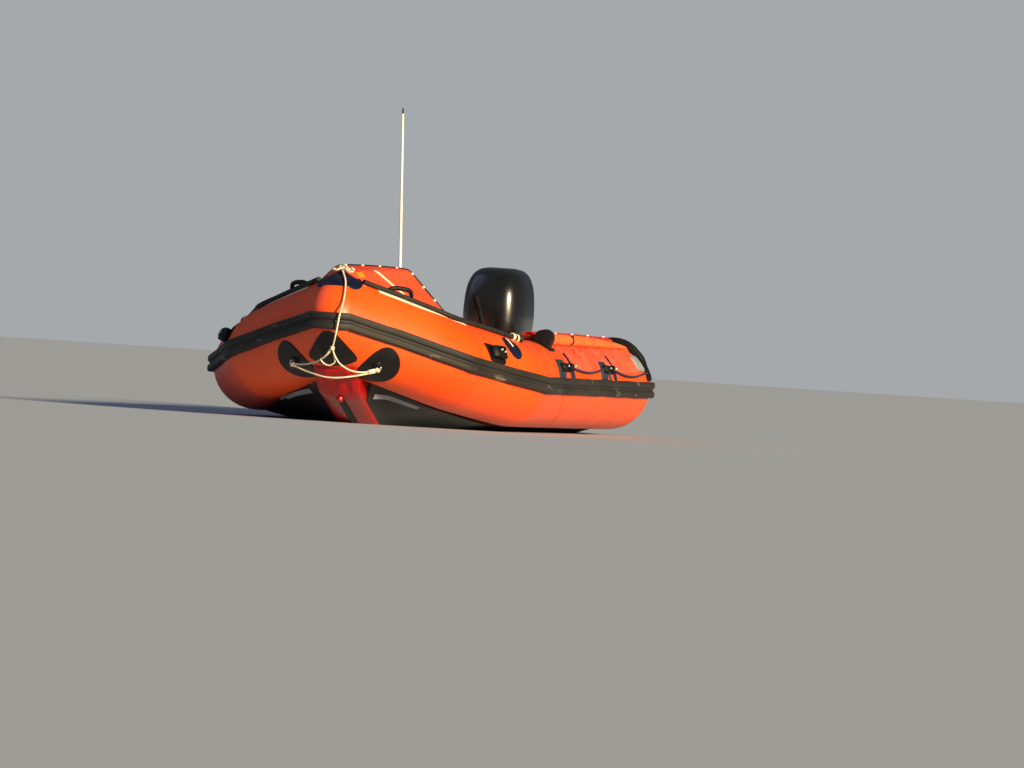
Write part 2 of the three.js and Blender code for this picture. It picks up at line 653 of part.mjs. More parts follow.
/** A point on the port tube: which length, the share of it from forward, the angle and the distance off it. */
function onTube(length, share, angle, out = 0) {
  const from = length === 'fore' ? noseRingPoint(angle, out) : ringPoint(LENGTHS[length][0], angle, out);
  const to = ringPoint(length === 'fore' ? SHOULDER_STATION : LENGTHS[length][1], angle, out);
  return from.lerp(to, share);
}

/** The share of the side tube at a place along the boat. */
const sideShare = (x) => (BEAM_STATION.x - x) / (BEAM_STATION.x - CONE_STATION.x);

/** Moves a geometry made as x aft along the tube, y up around it, z out of it, onto the port tube. */
function fitToTube(geometry, length, share, angle) {
  const origin = onTube(length, share, angle);
  const out = onTube(length, share, angle, 10).sub(origin).normalize();
  const aft = onTube(length, share + 0.05, angle).sub(origin);
  aft.addScaledVector(out, -aft.dot(out)).normalize();
  const around = new THREE.Vector3().crossVectors(out, aft);
  return geometry.applyMatrix4(new THREE.Matrix4().makeBasis(aft, around, out).setPosition(origin));
}

const PATCH_THICKNESS = 6;
const thickTubes = Object.values(TUBES).flatMap((make) => (
  [make(PATCH_THICKNESS), reflect(make(PATCH_THICKNESS))]
));
const patchSkin = [...thickTubes, noseBlock(PATCH_THICKNESS)].map(solid).reduce((sum, part) => sum.add(part));

/** The part of a prism that lies in the patch's thickness over the tubes. */
const skinPatch = (prism) => cut(solid(prism).intersect(patchSkin), ...sponson);

/** An oval prism, round when its halves are equal. */
function ovalPrism(halfAlong, halfAround, depth = 60, sides = 28) {
  return new THREE.CylinderGeometry(1, 1, depth, sides).rotateX(Math.PI / 2).scale(halfAlong, halfAround, 1);
}

// The thick black edging rope on the tubes, from beside the nose patch aft: length, share and angle
const EDGING_RADIUS = 15;
const EDGING_ROUTE = [
  ['fore', 0.135, 61], ['fore', 0.25, 62], ['fore', 0.48, 65], ['fore', 0.8, 68], ['shoulder', 0, 69],
  ['shoulder', 0.3, 70], ['shoulder', 0.6, 71], ['shoulder', 0.85, 71], ['shoulder', 0.95, 71],
];
const edging = () => tubeAlong(
  EDGING_ROUTE.map(([length, share, angle]) => onTube(length, share, angle, EDGING_RADIUS + 2)),
  EDGING_RADIUS,
  10,
  34,
);

/** The arched grab handle above the edging, with its finger gap. */
const HANDLE = {
  share: 0.5, angle: 74, halfLength: 88, height: 60, thickness: 26, gapHalf: 52, gapHeight: 32,
};
function topHandle() {
  const { halfLength, height, thickness, gapHalf, gapHeight } = HANDLE;
  const outer = [[-halfLength, -30], [-halfLength, 6], [-halfLength + 24, height - 10], [-30, height],
    [30, height], [halfLength - 24, height - 10], [halfLength, 6], [halfLength, -30]];
  const inner = [[gapHalf, -30], [gapHalf, 8], [gapHalf - 16, gapHeight], [-gapHalf + 16, gapHeight],
    [-gapHalf, 8], [-gapHalf, -30]];
  const arch = plateAlong([...outer, ...inner], -thickness / 2, thickness / 2);
  return againstTubes(fitToTube(arch, 'fore', HANDLE.share, HANDLE.angle));
}

/** The square patch above the strake, with its moulded eye. */
const SQUARE_PLACE = ['shoulder', 0.345, 23];
function squareFitting() {
  const patchOutline = [[-108, 50], [-64, -52], [84, -52], [106, 50]];
  const patch = fitToTube(plateFlat(patchOutline, -30, 30), ...SQUARE_PLACE);
  const eyeOutline = [[-66, -10], [-60, 34], [-40, 50], [40, 50], [60, 34], [66, -10]];
  const eye = fitToTube(plateAlong(eyeOutline, -33, 33), ...SQUARE_PLACE);
  return skinPatch(patch).add(againstTubes(eye));
}

/** The round-topped block that holds the forward end of the stowage roll. */
const ROLL_START_X = 525;
const ROLL_BLOCK_ANGLE = 68;
function rollBlock() {
  const share = sideShare(ROLL_START_X + 60);
  const dome = Array.from({ length: 11 }, (_, step) => {
    const angle = Math.PI * (step / 10);
    return [50 * Math.cos(angle), 42 + 50 * Math.sin(angle)];
  });
  const block3d = plateAcross([[50, -20], ...dome, [-50, -20]], -55, 55);
  const flange = new THREE.BoxGeometry(190, 126, 60).translate(20, -8, 0);
  const base = fitToTube(flange, 'side', share, ROLL_BLOCK_ANGLE);
  return skinPatch(base).add(againstTubes(fitToTube(block3d, 'side', share, ROLL_BLOCK_ANGLE)));
}

// The stowage roll on the tube, from forward aft: x and radius
const ROLL_ANGLE = 68;
const ROLL_STAND = 6;
const ROLL_SECTIONS = [
  { x: ROLL_START_X, radius: 31 },
  { x: 100, radius: 31 },
  { x: -700, radius: 28 },
  { x: -1400, radius: 19 },
  { x: -1785, radius: 9 },
];
const stowageRoll = () => loft(ROLL_SECTIONS.map(({ x, radius }) => {
  const middle = onTube('side', sideShare(x), ROLL_ANGLE, radius + ROLL_STAND);
  return Array.from({ length: 14 }, (_, side) => {
    const angle = (2 * Math.PI * side) / 14;
    return point(middle.x, middle.y + radius * Math.cos(angle), middle.z + radius * Math.sin(angle));
  });
}));

// The red flap rolled along the top of the tube: x, half width and height
const FLAP_SECTIONS = [
  { x: 560, halfWidth: 20, height: 16 },
  { x: 400, halfWidth: 46, height: 56 },
  { x: -600, halfWidth: 46, height: 58 },
  { x: -1700, halfWidth: 44, height: 50 },
];
const FLAP_Y = 716;
const topFlap = () => againstTubes(loft(FLAP_SECTIONS.map(({ x, halfWidth, height }) => {
  const topZ = TUBE_AXIS_Z + TUBE_RADIUS;
  const dome = Array.from({ length: 9 }, (_, step) => {
    const angle = Math.PI * (step / 8);
    return point(x, FLAP_Y + halfWidth * Math.cos(angle), topZ + height * (0.3 + 0.7 * Math.sin(angle)));
  });
  return [...dome, point(x, FLAP_Y - halfWidth, topZ - 30), point(x, FLAP_Y + halfWidth, topZ - 30)];
})));

/** The black cover over the rolls' aft ends, reaching down the side to the lifeline's eye. */
const COVER_X = { from: -1872, to: -1798 };
function endCover() {
  const humps = [[12.5, 4], [15, 20], [31, 20], [37, 26], [45, 36], [55, 42], [62, 50], [75, 57], [92, 53],
    [103, 30], [109, 4]];
  const outer = humps.map(([angle, out]) => ringPoint(CONE_STATION, angle, out));
  const inner = [105, 60, 15].map((angle) => ringPoint(CONE_STATION, angle, -30));
  return againstTubes(plateAcross([...outer, ...inner].map(({ y, z }) => [y, z]), COVER_X.from, COVER_X.to));
}

// The two side grips on each tube and the lifeline between them
const GRIP_XS = [500, -680];
const GRIP_HALF_LENGTH = 140;
const GRIP_ANGLE = 25;
function sideGrip(x) {
  const share = sideShare(x);
  const patch = fitToTube(new THREE.BoxGeometry(330, 124, 70), 'side', share, GRIP_ANGLE + 1.5);
  const moulding = block([-GRIP_HALF_LENGTH, -27, -10], [GRIP_HALF_LENGTH, 27, 34]);
  const grip = fitToTube(moulding, 'side', share, GRIP_ANGLE);
  return skinPatch(patch).add(againstTubes(grip));
}

// The lifelines' routes on the port side: x, angle and distance off the skin
const LIFELINE_RADIUS = 7;
const LIFELINE_OUT = 14;
const LIFELINE_ROUTES = [
  [[359, 25], [330, 24.6], [280, 23.4], [200, 21.8], [100, 20.4], [0, 19.4], [-90, 19], [-180, 19.4],
    [-280, 20.4], [-380, 21.8], [-460, 23.4], [-510, 24.6], [-539, 25]],
  [[-821, 25], [-850, 24.4], [-900, 22.8], [-980, 20.6], [-1080, 18.6], [-1200, 17.2], [-1310, 16.8],
    [-1420, 17.2], [-1540, 18.6], [-1640, 20.4], [-1720, 22.2], [-1770, 23], [-1797, 23]],
];
const lifeline = (route) => tubeAlong(
  route.map(([x, angle]) => onTube('side', sideShare(x), angle, LIFELINE_OUT)),
  LIFELINE_RADIUS,
  8,
  44,
);

// The patches at the bow: where they sit and their half sizes along and around the tube
const BOW_OVAL = { share: 0.3, angle: -46, halfAlong: 110, halfAround: 142 };
const EYE = { x: 2212, y: 235, z: 335, radius: 18, stand: 24 };
const EYE_OUT = point(0.51, 0.55, -0.66).normalize();
const eyeMiddle = point(EYE.x, EYE.y, EYE.z).addScaledVector(EYE_OUT, EYE.stand);
function bowPatch() {
  const { share, angle, halfAlong, halfAround } = BOW_OVAL;
  const oval = fitToTube(ovalPrism(halfAlong, halfAround, 140), 'fore', share, angle);
  const ball = new THREE.IcosahedronGeometry(EYE.radius, 2).translate(...eyeMiddle.toArray());
  const stem = bar(point(EYE.x, EYE.y, EYE.z).addScaledVector(EYE_OUT, -10), eyeMiddle, 12);
  return skinPatch(oval).add(cut(solid(stem), ...sponson)).add(solid(ball));
}

/** The rounded triangle under the strake, at the nose. */
function centrePatch() {
  const half = [[0, 508], [30, 505], [46, 492], [78, 455], [105, 420], [130, 388], [138, 370], [132, 352],
    [112, 342], [70, 326]];
  const outline = [...half, [0, 316], ...half.slice(1).reverse().map(([y, z]) => [-y, z])];
  return skinPatch(plateAcross(outline, 2215, BOW_X));
}

/** The patch on top of the nose, with the eye that the painter is made fast to. */
const TOP_PATCH = { x: 2256, halfLength: 118, halfWidth: 126 };
const TOP_EYE = { x: 2232, z: 858, radius: 20 };
function topPatch() {
  const whole = ovalPrism(TOP_PATCH.halfLength, TOP_PATCH.halfWidth, 300).translate(TOP_PATCH.x, 0, 800);
  const { halfWidth } = TOP_PATCH;
  const clear = block([DODGER_SECTIONS[0].x + 2, -halfWidth, 600], [BOW_X, halfWidth, 1000]);
  const ball = new THREE.IcosahedronGeometry(TOP_EYE.radius, 2).translate(TOP_EYE.x, 0, TOP_EYE.z);
  const stem = bar(point(TOP_EYE.x, 0, 800), point(TOP_EYE.x, 0, TOP_EYE.z), 13);
  const oval = geometryOf(solid(whole).intersect(solid(clear)));
  return skinPatch(oval).add(cut(solid(stem), ...sponson)).add(solid(ball));
}

// The towing ropes' routes, each from where it leaves the boat
const ROPE_RADIUS = 5;
const PAINTER_ROUTE = [
  [2251.5, 5, 854], [2270, 12, 850], [2306, 30, 828], [2350, 52, 792], [2414, 68, 724], [2456, 71, 668],
  [2492, 71, 630], [2509, 68, 600], [2512, 63, 560], [2511, 57, 516], [2501, 48, 471], [2483, 38, 440],
  [2468, 31, 422],
];
const UPPER_ROUTE = [
  [2245.6, 241, 313.5], [2256, 229, 306], [2275, 200, 296], [2302, 160, 289], [2345, 108, 298],
  [2402, 62, 331], [2440, 42, 368], [2462, 24, 408], [2436, -12, 372], [2395, -60, 340], [2352, -107, 325],
  [2308, -160, 314], [2272, -206, 311], [2252, -232, 311], [2245, -242, 312.5],
];
const LOWER_ROUTE = [
  [2231, 240, 302.5], [2240, 226, 294], [2262, 195, 285], [2290, 140, 270], [2312, 76, 257], [2320, 19, 250],
  [2315, -43, 252], [2298, -99, 263], [2276, -157, 277], [2256, -203, 291], [2241, -226, 298],
  [2230.5, -236, 300],
];
const rope = (route, steps) => tubeAlong(route.map((at) => point(...at)), ROPE_RADIUS, 8, steps);

const boat = new THREE.Group();

/** Puts one named piece into the boat. */
function place(name, shape, [colour, roughness, metalness]) {
  const geometry = shape.isBufferGeometry ? shape : geometryOf(shape);
  geometry.computeVertexNormals();
  const material = new THREE.MeshStandardMaterial({ color: colour, roughness, metalness });
  const mesh = new THREE.Mesh(geometry, material);
  mesh.name = name;
  boat.add(mesh);
}

/** Puts a piece and its mirror image on the two sides. */
function placePair(name, shape, look) {
  const geometry = shape.isBufferGeometry ? shape : geometryOf(shape);
  place(`${name}_port`, geometry, look);
  place(`${name}_starboard`, reflect(geometry), look);
}

place('nose_tube', noseBlock(), COLOURS.orange);
for (const [name, make] of Object.entries(TUBES)) {
  placePair(name, make(0), COLOURS.orange);
}
place('strake_bow', strakeBow(), COLOURS.black);
placePair('strake', strakePort(), COLOURS.black);
place('keel_tube', keelTube(), COLOURS.red);
place('keel_strip', keelStrip(), COLOURS.black);
placePair('bottom', bottomSide(), COLOURS.black);
for (let panel = 0; panel + 1 < DECK_LINES.length; panel += 1) {
  place(`deck_panel_${panel + 1}`, deckPanel(DECK_LINES[panel], DECK_LINES[panel + 1]), COLOURS.deck);
}
placePair('edging', edging(), COLOURS.black);
placePair('top_handle', topHandle(), COLOURS.black);
placePair('square_fitting', squareFitting(), COLOURS.black);
placePair('roll_block', rollBlock(), COLOURS.black);
placePair('stowage_roll', stowageRoll(), COLOURS.orange);
placePair('top_flap', topFlap(), COLOURS.red);
placePair('end_cover', endCover(), COLOURS.black);
GRIP_XS.forEach((x, index) => placePair(`side_grip_${index + 1}`, sideGrip(x), COLOURS.black));
LIFELINE_ROUTES.forEach((route, index) => placePair(`lifeline_${index + 1}`, lifeline(route), COLOURS.navy));
placePair('bow_patch', bowPatch(), COLOURS.black);
place('centre_patch', centrePatch(), COLOURS.black);
place('top_patch', topPatch(), COLOURS.navy);
place('painter', rope(PAINTER_ROUTE, 32), COLOURS.cream);
place('bridle_upper', rope(UPPER_ROUTE, 44), COLOURS.cream);
place('bridle_lower', rope(LOWER_ROUTE, 36), COLOURS.cream);
place('transom', transom(), COLOURS.deck);
place('dodger', dodger(), COLOURS.orange);
place('fuel_bag', fuelBag(), COLOURS.black);
place('clamp_bracket', clampBracket(), COLOURS.engine);
place('swivel_bracket', swivelBracket(), COLOURS.engine);
place('leg', leg(), COLOURS.engine);
place('gearcase', gearcase(), COLOURS.engine);
place('cowling', cowling(), COLOURS.engine);
place('tiller', tiller(), COLOURS.black);
place('propeller', propeller(), COLOURS.engine);
place('aerial_mount', aerialMount(), COLOURS.steel);
place('aerial_whip', aerialWhip(), COLOURS.white);

export default boat;
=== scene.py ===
"""The looks of an inflatable inshore rescue boat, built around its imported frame.

Metres, in the frame of the boat: +X towards the bow, +Y to port, +Z up, with the origin on the
waterline amidships. Each class below is one sub-assembly of the boat.
"""

import logging
import math
from dataclasses import dataclass, field
from enum import Enum
from typing import Any, Callable, Iterable, Sequence

import bmesh
import bpy
from mathutils import Matrix, Vector, noise
from mathutils.bvhtree import BVHTree


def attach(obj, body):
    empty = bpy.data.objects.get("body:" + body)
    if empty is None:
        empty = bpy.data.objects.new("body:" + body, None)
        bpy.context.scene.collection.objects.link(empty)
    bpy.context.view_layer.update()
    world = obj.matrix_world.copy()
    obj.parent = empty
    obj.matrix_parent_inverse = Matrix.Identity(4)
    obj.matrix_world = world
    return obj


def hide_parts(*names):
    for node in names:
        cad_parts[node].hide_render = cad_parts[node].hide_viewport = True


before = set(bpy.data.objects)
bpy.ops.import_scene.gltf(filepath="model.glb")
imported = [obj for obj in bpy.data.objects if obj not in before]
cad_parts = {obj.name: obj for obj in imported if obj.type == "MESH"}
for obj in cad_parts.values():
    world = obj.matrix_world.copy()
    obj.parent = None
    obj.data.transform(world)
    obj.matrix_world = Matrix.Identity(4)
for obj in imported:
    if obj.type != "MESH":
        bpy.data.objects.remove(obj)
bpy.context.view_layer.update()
LOG = logging.getLogger("rescue_boat")

Shape = bmesh.types.BMesh
Piece = bpy.types.Object
Places = Sequence[Vector]
Pair = tuple[float, float]
Triple = tuple[float, float, float]
Outline = tuple[Pair, ...]
Route = tuple[Triple, ...]
Rows = tuple[tuple[float, ...], ...]

AHEAD = Vector((1, 0, 0))
ABEAM = Vector((0, 1, 0))
UP = Vector((0, 0, 1))

# The photograph's camera: the way to it from the boat, its roll, its distance and its lens
CAMERA_AZIMUTH = 12.5055
CAMERA_ELEVATION = 0.4686
CAMERA_ROLL = 3.7158
CAMERA_DISTANCE = 60.0
SENSOR_WIDTH = 36.0
CAMERA_LENS = 365.244
PHOTO_SIZE = (1024, 768)
ORIGIN_PIXEL = (418.77, 424.961)

# Driving sizes of the hull, as in the part's source
GAP = 0.0003
TUBE_AXIS_Z = 0.28
STRAKE_PROUD = 0.03
STRAKE_NOSE_RADIUS = 0.18
NOSE_RADIUS = 0.275
TUBE_RADIUS = 0.245
TUBE_TOP = TUBE_AXIS_Z + TUBE_RADIUS
DECK_Z = 0.058
DECK_THICKNESS = 0.015
DECK_TOP = DECK_Z + DECK_THICKNESS
TRANSOM_X = -1.775
KEEL_HALF_WIDTH = 0.12
KEEL_BELLY = 0.034
STERN_X = -2.5


class Side(Enum):
    """The two sides of the boat, with the sign of Y on each."""

    PORT = 1
    STARBOARD = -1


class Length(Enum):
    """The straight lengths of an air tube, from the middle of the nose aft."""

    NOSE = 0
    FORE = 1
    SHOULDER = 2
    SIDE = 3
    CONE = 4


class View(Enum):
    """The view that an outline is drawn in: the axes of its two numbers and of its depth."""

    ABOVE = (0, 1, 2)
    SIDE = (0, 2, 1)
    END = (1, 2, 0)


# A place on the port tube: its length, the share of it and the angle above the strake
Spot = tuple[Length, float, float]


@dataclass(frozen=True)
class Corner:
    """A corner of the strake's outer line in plan, with the tube's rise and radius there."""

    x: float
    y: float
    rise: float
    radius: float


@dataclass(frozen=True)
class Station:
    """The tube's axis at one place, the way across it in plan, and its radius."""

    x: float
    y: float
    z: float
    across: Pair
    radius: float


NOSE_TANGENT = Corner(2.45, 0.124, 0.286, NOSE_RADIUS)
SHOULDER = Corner(1.884, 0.719, 0.094, 0.255)
BEAM_END = Corner(1.132, 1.0, 0.0, TUBE_RADIUS)
CONE_START = Corner(-1.88, 1.0, 0.0, TUBE_RADIUS)
# The cone's narrower rings: distance forward of the stern, radius and height
CONE_RINGS = ((0.06, 0.088, 0.305), (0.022, 0.066, 0.306), (0.006, 0.044, 0.307))


def plan_normal(fore: Corner, aft: Corner) -> Pair:
    """Gives the outward normal in plan of the line between two corners."""
    run = math.hypot(fore.x - aft.x, aft.y - fore.y)
    return (aft.y - fore.y) / run, (fore.x - aft.x) / run


def mitre(one: Pair, other: Pair) -> Pair:
    """Gives the direction across a mitre, long enough to reach both outer lines."""
    scale = 1 + one[0] * other[0] + one[1] * other[1]
    return (one[0] + other[0]) / scale, (one[1] + other[1]) / scale


def station_at(corner: Corner, across: Pair) -> Station:
    """Sets the tube's axis inside a corner of the strake's line.

    Args:
        corner: The corner.
        across: The direction across the tube there.

    Returns:
        The station.
    """
    inset = corner.radius + STRAKE_PROUD
    return Station(
        corner.x - across[0] * inset, corner.y - across[1] * inset, TUBE_AXIS_Z + corner.rise, across,
        corner.radius,
    )


def polar(degrees: float, radius: float = 1.0) -> Pair:
    """Gives a radius's shares along the two directions that an angle is measured in."""
    return radius * math.cos(math.radians(degrees)), radius * math.sin(math.radians(degrees))


def axes_at(x: Vector, y: Vector, z: Vector, origin: Vector) -> Matrix:
    """Gives the matrix with these axes and this origin."""
    return Matrix.Translation(origin) @ Matrix((x, y, z)).transposed().to_4x4()


class TubePlan:
    """The shape of the port air tube, by length, share of it, angle above the strake and distance off it."""

    def __init__(self) -> None:
        """Works out the stations of the tube from the strake's corners."""
        self.fore_normal = plan_normal(NOSE_TANGENT, SHOULDER)
        shoulder_normal = plan_normal(SHOULDER, BEAM_END)
        self.shoulder = station_at(SHOULDER, mitre(self.fore_normal, shoulder_normal))
        self.beam = station_at(BEAM_END, mitre(shoulder_normal, (0.0, 1.0)))
        self.cone = station_at(CONE_START, (0.0, 1.0))
        self.nose_turn = math.atan2(self.fore_normal[1], self.fore_normal[0])
        inset = NOSE_RADIUS + STRAKE_PROUD
        self.nose_x = NOSE_TANGENT.x + (NOSE_TANGENT.y * self.fore_normal[1] - inset) / self.fore_normal[0]
        self.nose_z = TUBE_AXIS_Z + NOSE_TANGENT.rise
        self.fillet = STRAKE_NOSE_RADIUS - inset
        self.cone_stations = [self.cone] + [
            Station(STERN_X + run, self.cone.y, z, (0.0, 1.0), radius) for run, radius, z in CONE_RINGS
        ]

    def ring_point(self, at: Station, angle: float, out: float) -> Vector:
        """Gives a point off the skin at a station."""
        reach, height = polar(angle, at.radius + out)
        return Vector((at.x + at.across[0] * reach, at.y + at.across[1] * reach, at.z + height))

    def nose_point(self, turn: float, angle: float, out: float) -> Vector:
        """Gives a point of the nose.

        Args:
            turn: How far it is turned in plan from the middle line, in radians.
            angle: Degrees above the strake, over the outside of the tube.
            out: Distance off the skin.

        Returns:
            The point, which stays on the middle line past the crown.
        """
        reach, height = polar(angle, NOSE_RADIUS + out)
        share = math.cos(math.radians(angle))
        if share < 1e-3:
            return Vector((self.nose_x + reach / self.fore_normal[0], 0.0, self.nose_z + height))
        swung = (NOSE_RADIUS + out + self.fillet) * share
        x = self.nose_x - self.fillet / self.fore_normal[0] * share + swung * math.cos(turn)
        return Vector((x, swung * math.sin(turn), self.nose_z + height))

    def point(self, length: Length, share: float, angle: float, out: float = 0.0) -> Vector:
        """Gives a point on or off the port tube.

        Args:
            length: Which straight length of the tube.
            share: How far aft along it, from 0 to 1.
            angle: Degrees above the strake, over the outside of the tube.
            out: Distance off the skin.

        Returns:
            The point.
        """
        if length is Length.NOSE:
            return self.nose_point(self.nose_turn * share, angle, out)
        if length is Length.FORE:
            fore = self.nose_point(self.nose_turn, angle, out)
            return fore.lerp(self.ring_point(self.shoulder, angle, out), share)
        stations = self.cone_stations
        if length is not Length.CONE:
            stations = [self.shoulder, self.beam] if length is Length.SHOULDER else [self.beam, self.cone]
        run = share * (len(stations) - 1)
        first = max(0, min(int(run), len(stations) - 2))
        fore, aft = (self.ring_point(at, angle, out) for at in stations[first:first + 2])
        return fore.lerp(aft, run - first)

    def span(self, length: Length, angle: float = 90) -> float:
        """Gives how long a length of the tube is, along its top or at another angle."""
        return (self.point(length, 1, angle) - self.point(length, 0, angle)).length

    def frame_at(self, length: Length, share: float, angle: float) -> Matrix:
        """Gives the axes at a place on the skin.

        Args:
            length: Which straight length of the tube.
            share: How far aft along it.
            angle: Degrees above the strake.

        Returns:
            The axes: x aft, y up around the tube, z out of it.
        """
        origin = self.point(length, share, angle)
        out = (self.point(length, share, angle, 0.01) - origin).normalized()
        aft = self.point(length, share + 0.02, angle) - self.point(length, share - 0.02, angle)
        aft = (aft - out * aft.dot(out)).normalized()
        return axes_at(aft, out.cross(aft), out, origin)

    def side_spot(self, x: float, angle: float) -> Spot:
        """Gives the place on the long side length at an X and an angle."""
        return Length.SIDE, (self.beam.x - x) / (self.beam.x - self.cone.x), angle


PLAN = TubePlan()


def linear(hex_colour: str) -> tuple[float, float, float, float]:
    """Turns an sRGB hex colour, such as #FF8040, to linear light."""
    channels = [int(hex_colour[i:i + 2], 16) / 255 for i in (1, 3, 5)]
    return *(c / 12.92 if c <= 0.04045 else ((c + 0.055) / 1.055) ** 2.4 for c in channels), 1.0


def add_node(
    tree: bpy.types.NodeTree, kind: str, settings: dict[Any, Any] | None = None,
    links: dict[Any, Any] | None = None,
) -> bpy.types.Node:
    """Adds a node with its settings and links.

    Args:
        tree: The node tree.
        kind: The node's type name.
        settings: Values by the name or number of an input, or by the name of a property.
        links: Sockets by the name or number of the input that they reach.

    Returns:
        The node.
    """
    node = tree.nodes.new(kind)
    for key, value in (settings or {}).items():
        if isinstance(key, int) or key in node.inputs:
            node.inputs[key].default_value = value
        else:
            setattr(node, key, value)
    for key, socket in (links or {}).items():
        tree.links.new(socket, node.inputs[key])
    return node


@dataclass(frozen=True)
class Relief:
    """A bump of the surface: how coarse it is and how deep, in millimetres."""

    size_mm: float
    depth_mm: float


@dataclass(frozen=True)
class Marks:
    """Scuffs, and on the glued cover painted shade for its creases: their colour, how much of the surface
    they reach, and their size in millimetres.
    """

    colour: str
    share: float
    size_mm: float = 25.0


@dataclass(frozen=True)
class Finish:
    """A finish: a base colour that drifts to a worn one, a relief, and marks.

    The drift's size is in millimetres too, because each pattern is worked out from a real size.
    """

    name: str
    colour: str
    worn: str
    roughness: float
    roughness_drift: float
    drift_mm: float = 300.0
    drift_share: float = 0.35
    grain: Relief | None = Relief(4, 0.25)
    crease: Relief | None = None
    # Scuffs; on the glued cover, darker patches of painted crease shade
    scuffs_and_painted_shade: Marks | None = None
    metallic: float = 0.0
    coat: float = 0.0
    specular: float = 0.5
    stretch: Triple = (1.0, 1.0, 1.0)
    # The grime low on the tubes: its colour, and the height where it ends
    soil: tuple[str, float] | None = None

    def material(self) -> bpy.types.Material:
        """Builds the material once, and gives the same one after that.

        Returns:
            The material.
        """
        known = bpy.data.materials.get(self.name)
        if known:
            return known
        material = bpy.data.materials.new(self.name)
        material.use_nodes = True
        tree = material.node_tree
        shader = tree.nodes["Principled BSDF"]
        shader.inputs["Metallic"].default_value = self.metallic
        shader.inputs["Coat Weight"].default_value = self.coat
        shader.inputs["Specular IOR Level"].default_value = self.specular
        shader.inputs["Coat Roughness"].default_value = 0.12
        place = add_node(tree, "ShaderNodeTexCoord").outputs["Object"]
        stretched = add_node(tree, "ShaderNodeMapping", {"Scale": self.stretch}, {"Vector": place}).outputs[0]
        self._paint(tree, shader, place, stretched)
        self._emboss(tree, shader, stretched)
        return material

    def _paint(self, tree: bpy.types.NodeTree, shader: bpy.types.Node, place: Any, stretched: Any) -> None:
        """Links the colour and the roughness, which drift over the surface.

        Args:
            tree: The material's node tree.
            shader: Its shader.
            place: The Object coordinates.
            stretched: The same, stretched along the grain.
        """
        pattern = {"Scale": 1000 / self.drift_mm, "Detail": 4.0, "Roughness": 0.55}
        drift = add_node(tree, "ShaderNodeTexNoise", pattern, {"Vector": stretched}).outputs["Fac"]
        half = self.roughness_drift / 2
        least, most = self.roughness - half, self.roughness + half
        spread = {"From Min": 0.3, "From Max": 0.7, "To Min": least, "To Max": most}
        rough = add_node(tree, "ShaderNodeMapRange", spread, {"Value": drift}).outputs[0]
        tree.links.new(rough, shader.inputs["Roughness"])
        # What each colour follows, the two levels that it is between, its shares there, and its hex value
        layers = [(drift, 0.35, 0.7, 0.0, self.drift_share, self.worn)]
        # Scuffs, which on the glued cover are darker patches of painted shade for its creases
        if self.scuffs_and_painted_shade:
            pattern = {"Scale": 1000 / self.scuffs_and_painted_shade.size_mm, "Detail": 6.0, "Roughness": 0.55}
            marks = add_node(tree, "ShaderNodeTexNoise", pattern, {"Vector": stretched}).outputs["Fac"]
            edge = 0.72 - self.scuffs_and_painted_shade.share * 0.3
            layers.append((marks, edge, edge + 0.1, 0.0, 0.55, self.scuffs_and_painted_shade.colour))
        if self.soil:
            height = add_node(tree, "ShaderNodeSeparateXYZ", {}, {"Vector": place}).outputs["Z"]
            settings = {"operation": "MULTIPLY_ADD", 1: -0.12}
            ragged = add_node(tree, "ShaderNodeMath", settings, {0: drift, 2: height}).outputs[0]
            layers.append((ragged, -0.06, self.soil[1], 0.55, 0.0, self.soil[0]))
        links = {}
        for value, low, high, first, last, colour in layers:
            spread = {"From Min": low, "From Max": high, "To Min": first, "To Max": last}
            links[0] = add_node(tree, "ShaderNodeMapRange", spread, {"Value": value}).outputs[0]
            settings = {"data_type": "RGBA", 6: linear(self.colour), 7: linear(colour)}
            links[6] = add_node(tree, "ShaderNodeMix", settings, links).outputs[2]
        tree.links.new(links[6], shader.inputs["Base Color"])

    def _emboss(self, tree: bpy.types.NodeTree, shader: bpy.types.Node, stretched: Any) -> None:
        """Links the bump of the creases, and of the grain over them.

        Args:
            tree: The material's node tree.
            shader: Its shader.
            stretched: The Object coordinates, stretched along the grain.
        """
        links = {}
        for relief in filter(None, (self.crease, self.grain)):
            pattern = {"Scale": 1000 / relief.size_mm, "Detail": 2.0, "Roughness": 0.55}
            height = add_node(tree, "ShaderNodeTexNoise", pattern, {"Vector": stretched}).outputs["Fac"]
            links["Height"] = height
            settings = {"Strength": 1.0, "Distance": relief.depth_mm / 1000}
            links["Normal"] = add_node(tree, "ShaderNodeBump", settings, links).outputs["Normal"]
        if links:
            tree.links.new(links["Normal"], shader.inputs["Normal"])


# Synthetic rubber on woven cloth, glued by hand: a soft, slightly waxy orange, faded on top
TUBE_ORANGE = Finish(
    "rubber_coated_cloth_orange", "#F24E04", "#F25E16", 0.42, 0.16, 420, 0.6, Relief(5, 0.12),
    Relief(110, 1.6), Marks("#D04A1C", 0.28, 38), soil=("#9A3A18", 0.05),
)
# The same cloth in the seam tapes, which take more dirt along their edges
SEAM_TAPE_ORANGE = Finish(
    "rubber_coated_tape_orange", "#E84600", "#DE5218", 0.52, 0.12, 120, 0.5, Relief(4, 0.2),
    scuffs_and_painted_shade=Marks("#8A3A20", 0.25, 18),
)
# The keel's cloth is redder, smooth and glossier
KEEL_RED = Finish(
    "rubber_coated_cloth_red", "#9C0403", "#AE0A06", 0.3, 0.14, 260, 0.5, Relief(4, 0.1), Relief(70, 3),
    Marks("#8A100C", 0.2, 40),
)
# The bottom's black cloth gives long soft gleams where it is pulled between keel and tube
BOTTOM_BLACK = Finish(
    "rubber_coated_cloth_black", "#101113", "#1C1D20", 0.4, 0.16, 260, 0.6, crease=Relief(140, 3),
    scuffs_and_painted_shade=Marks("#3A3A3A", 0.15),
)
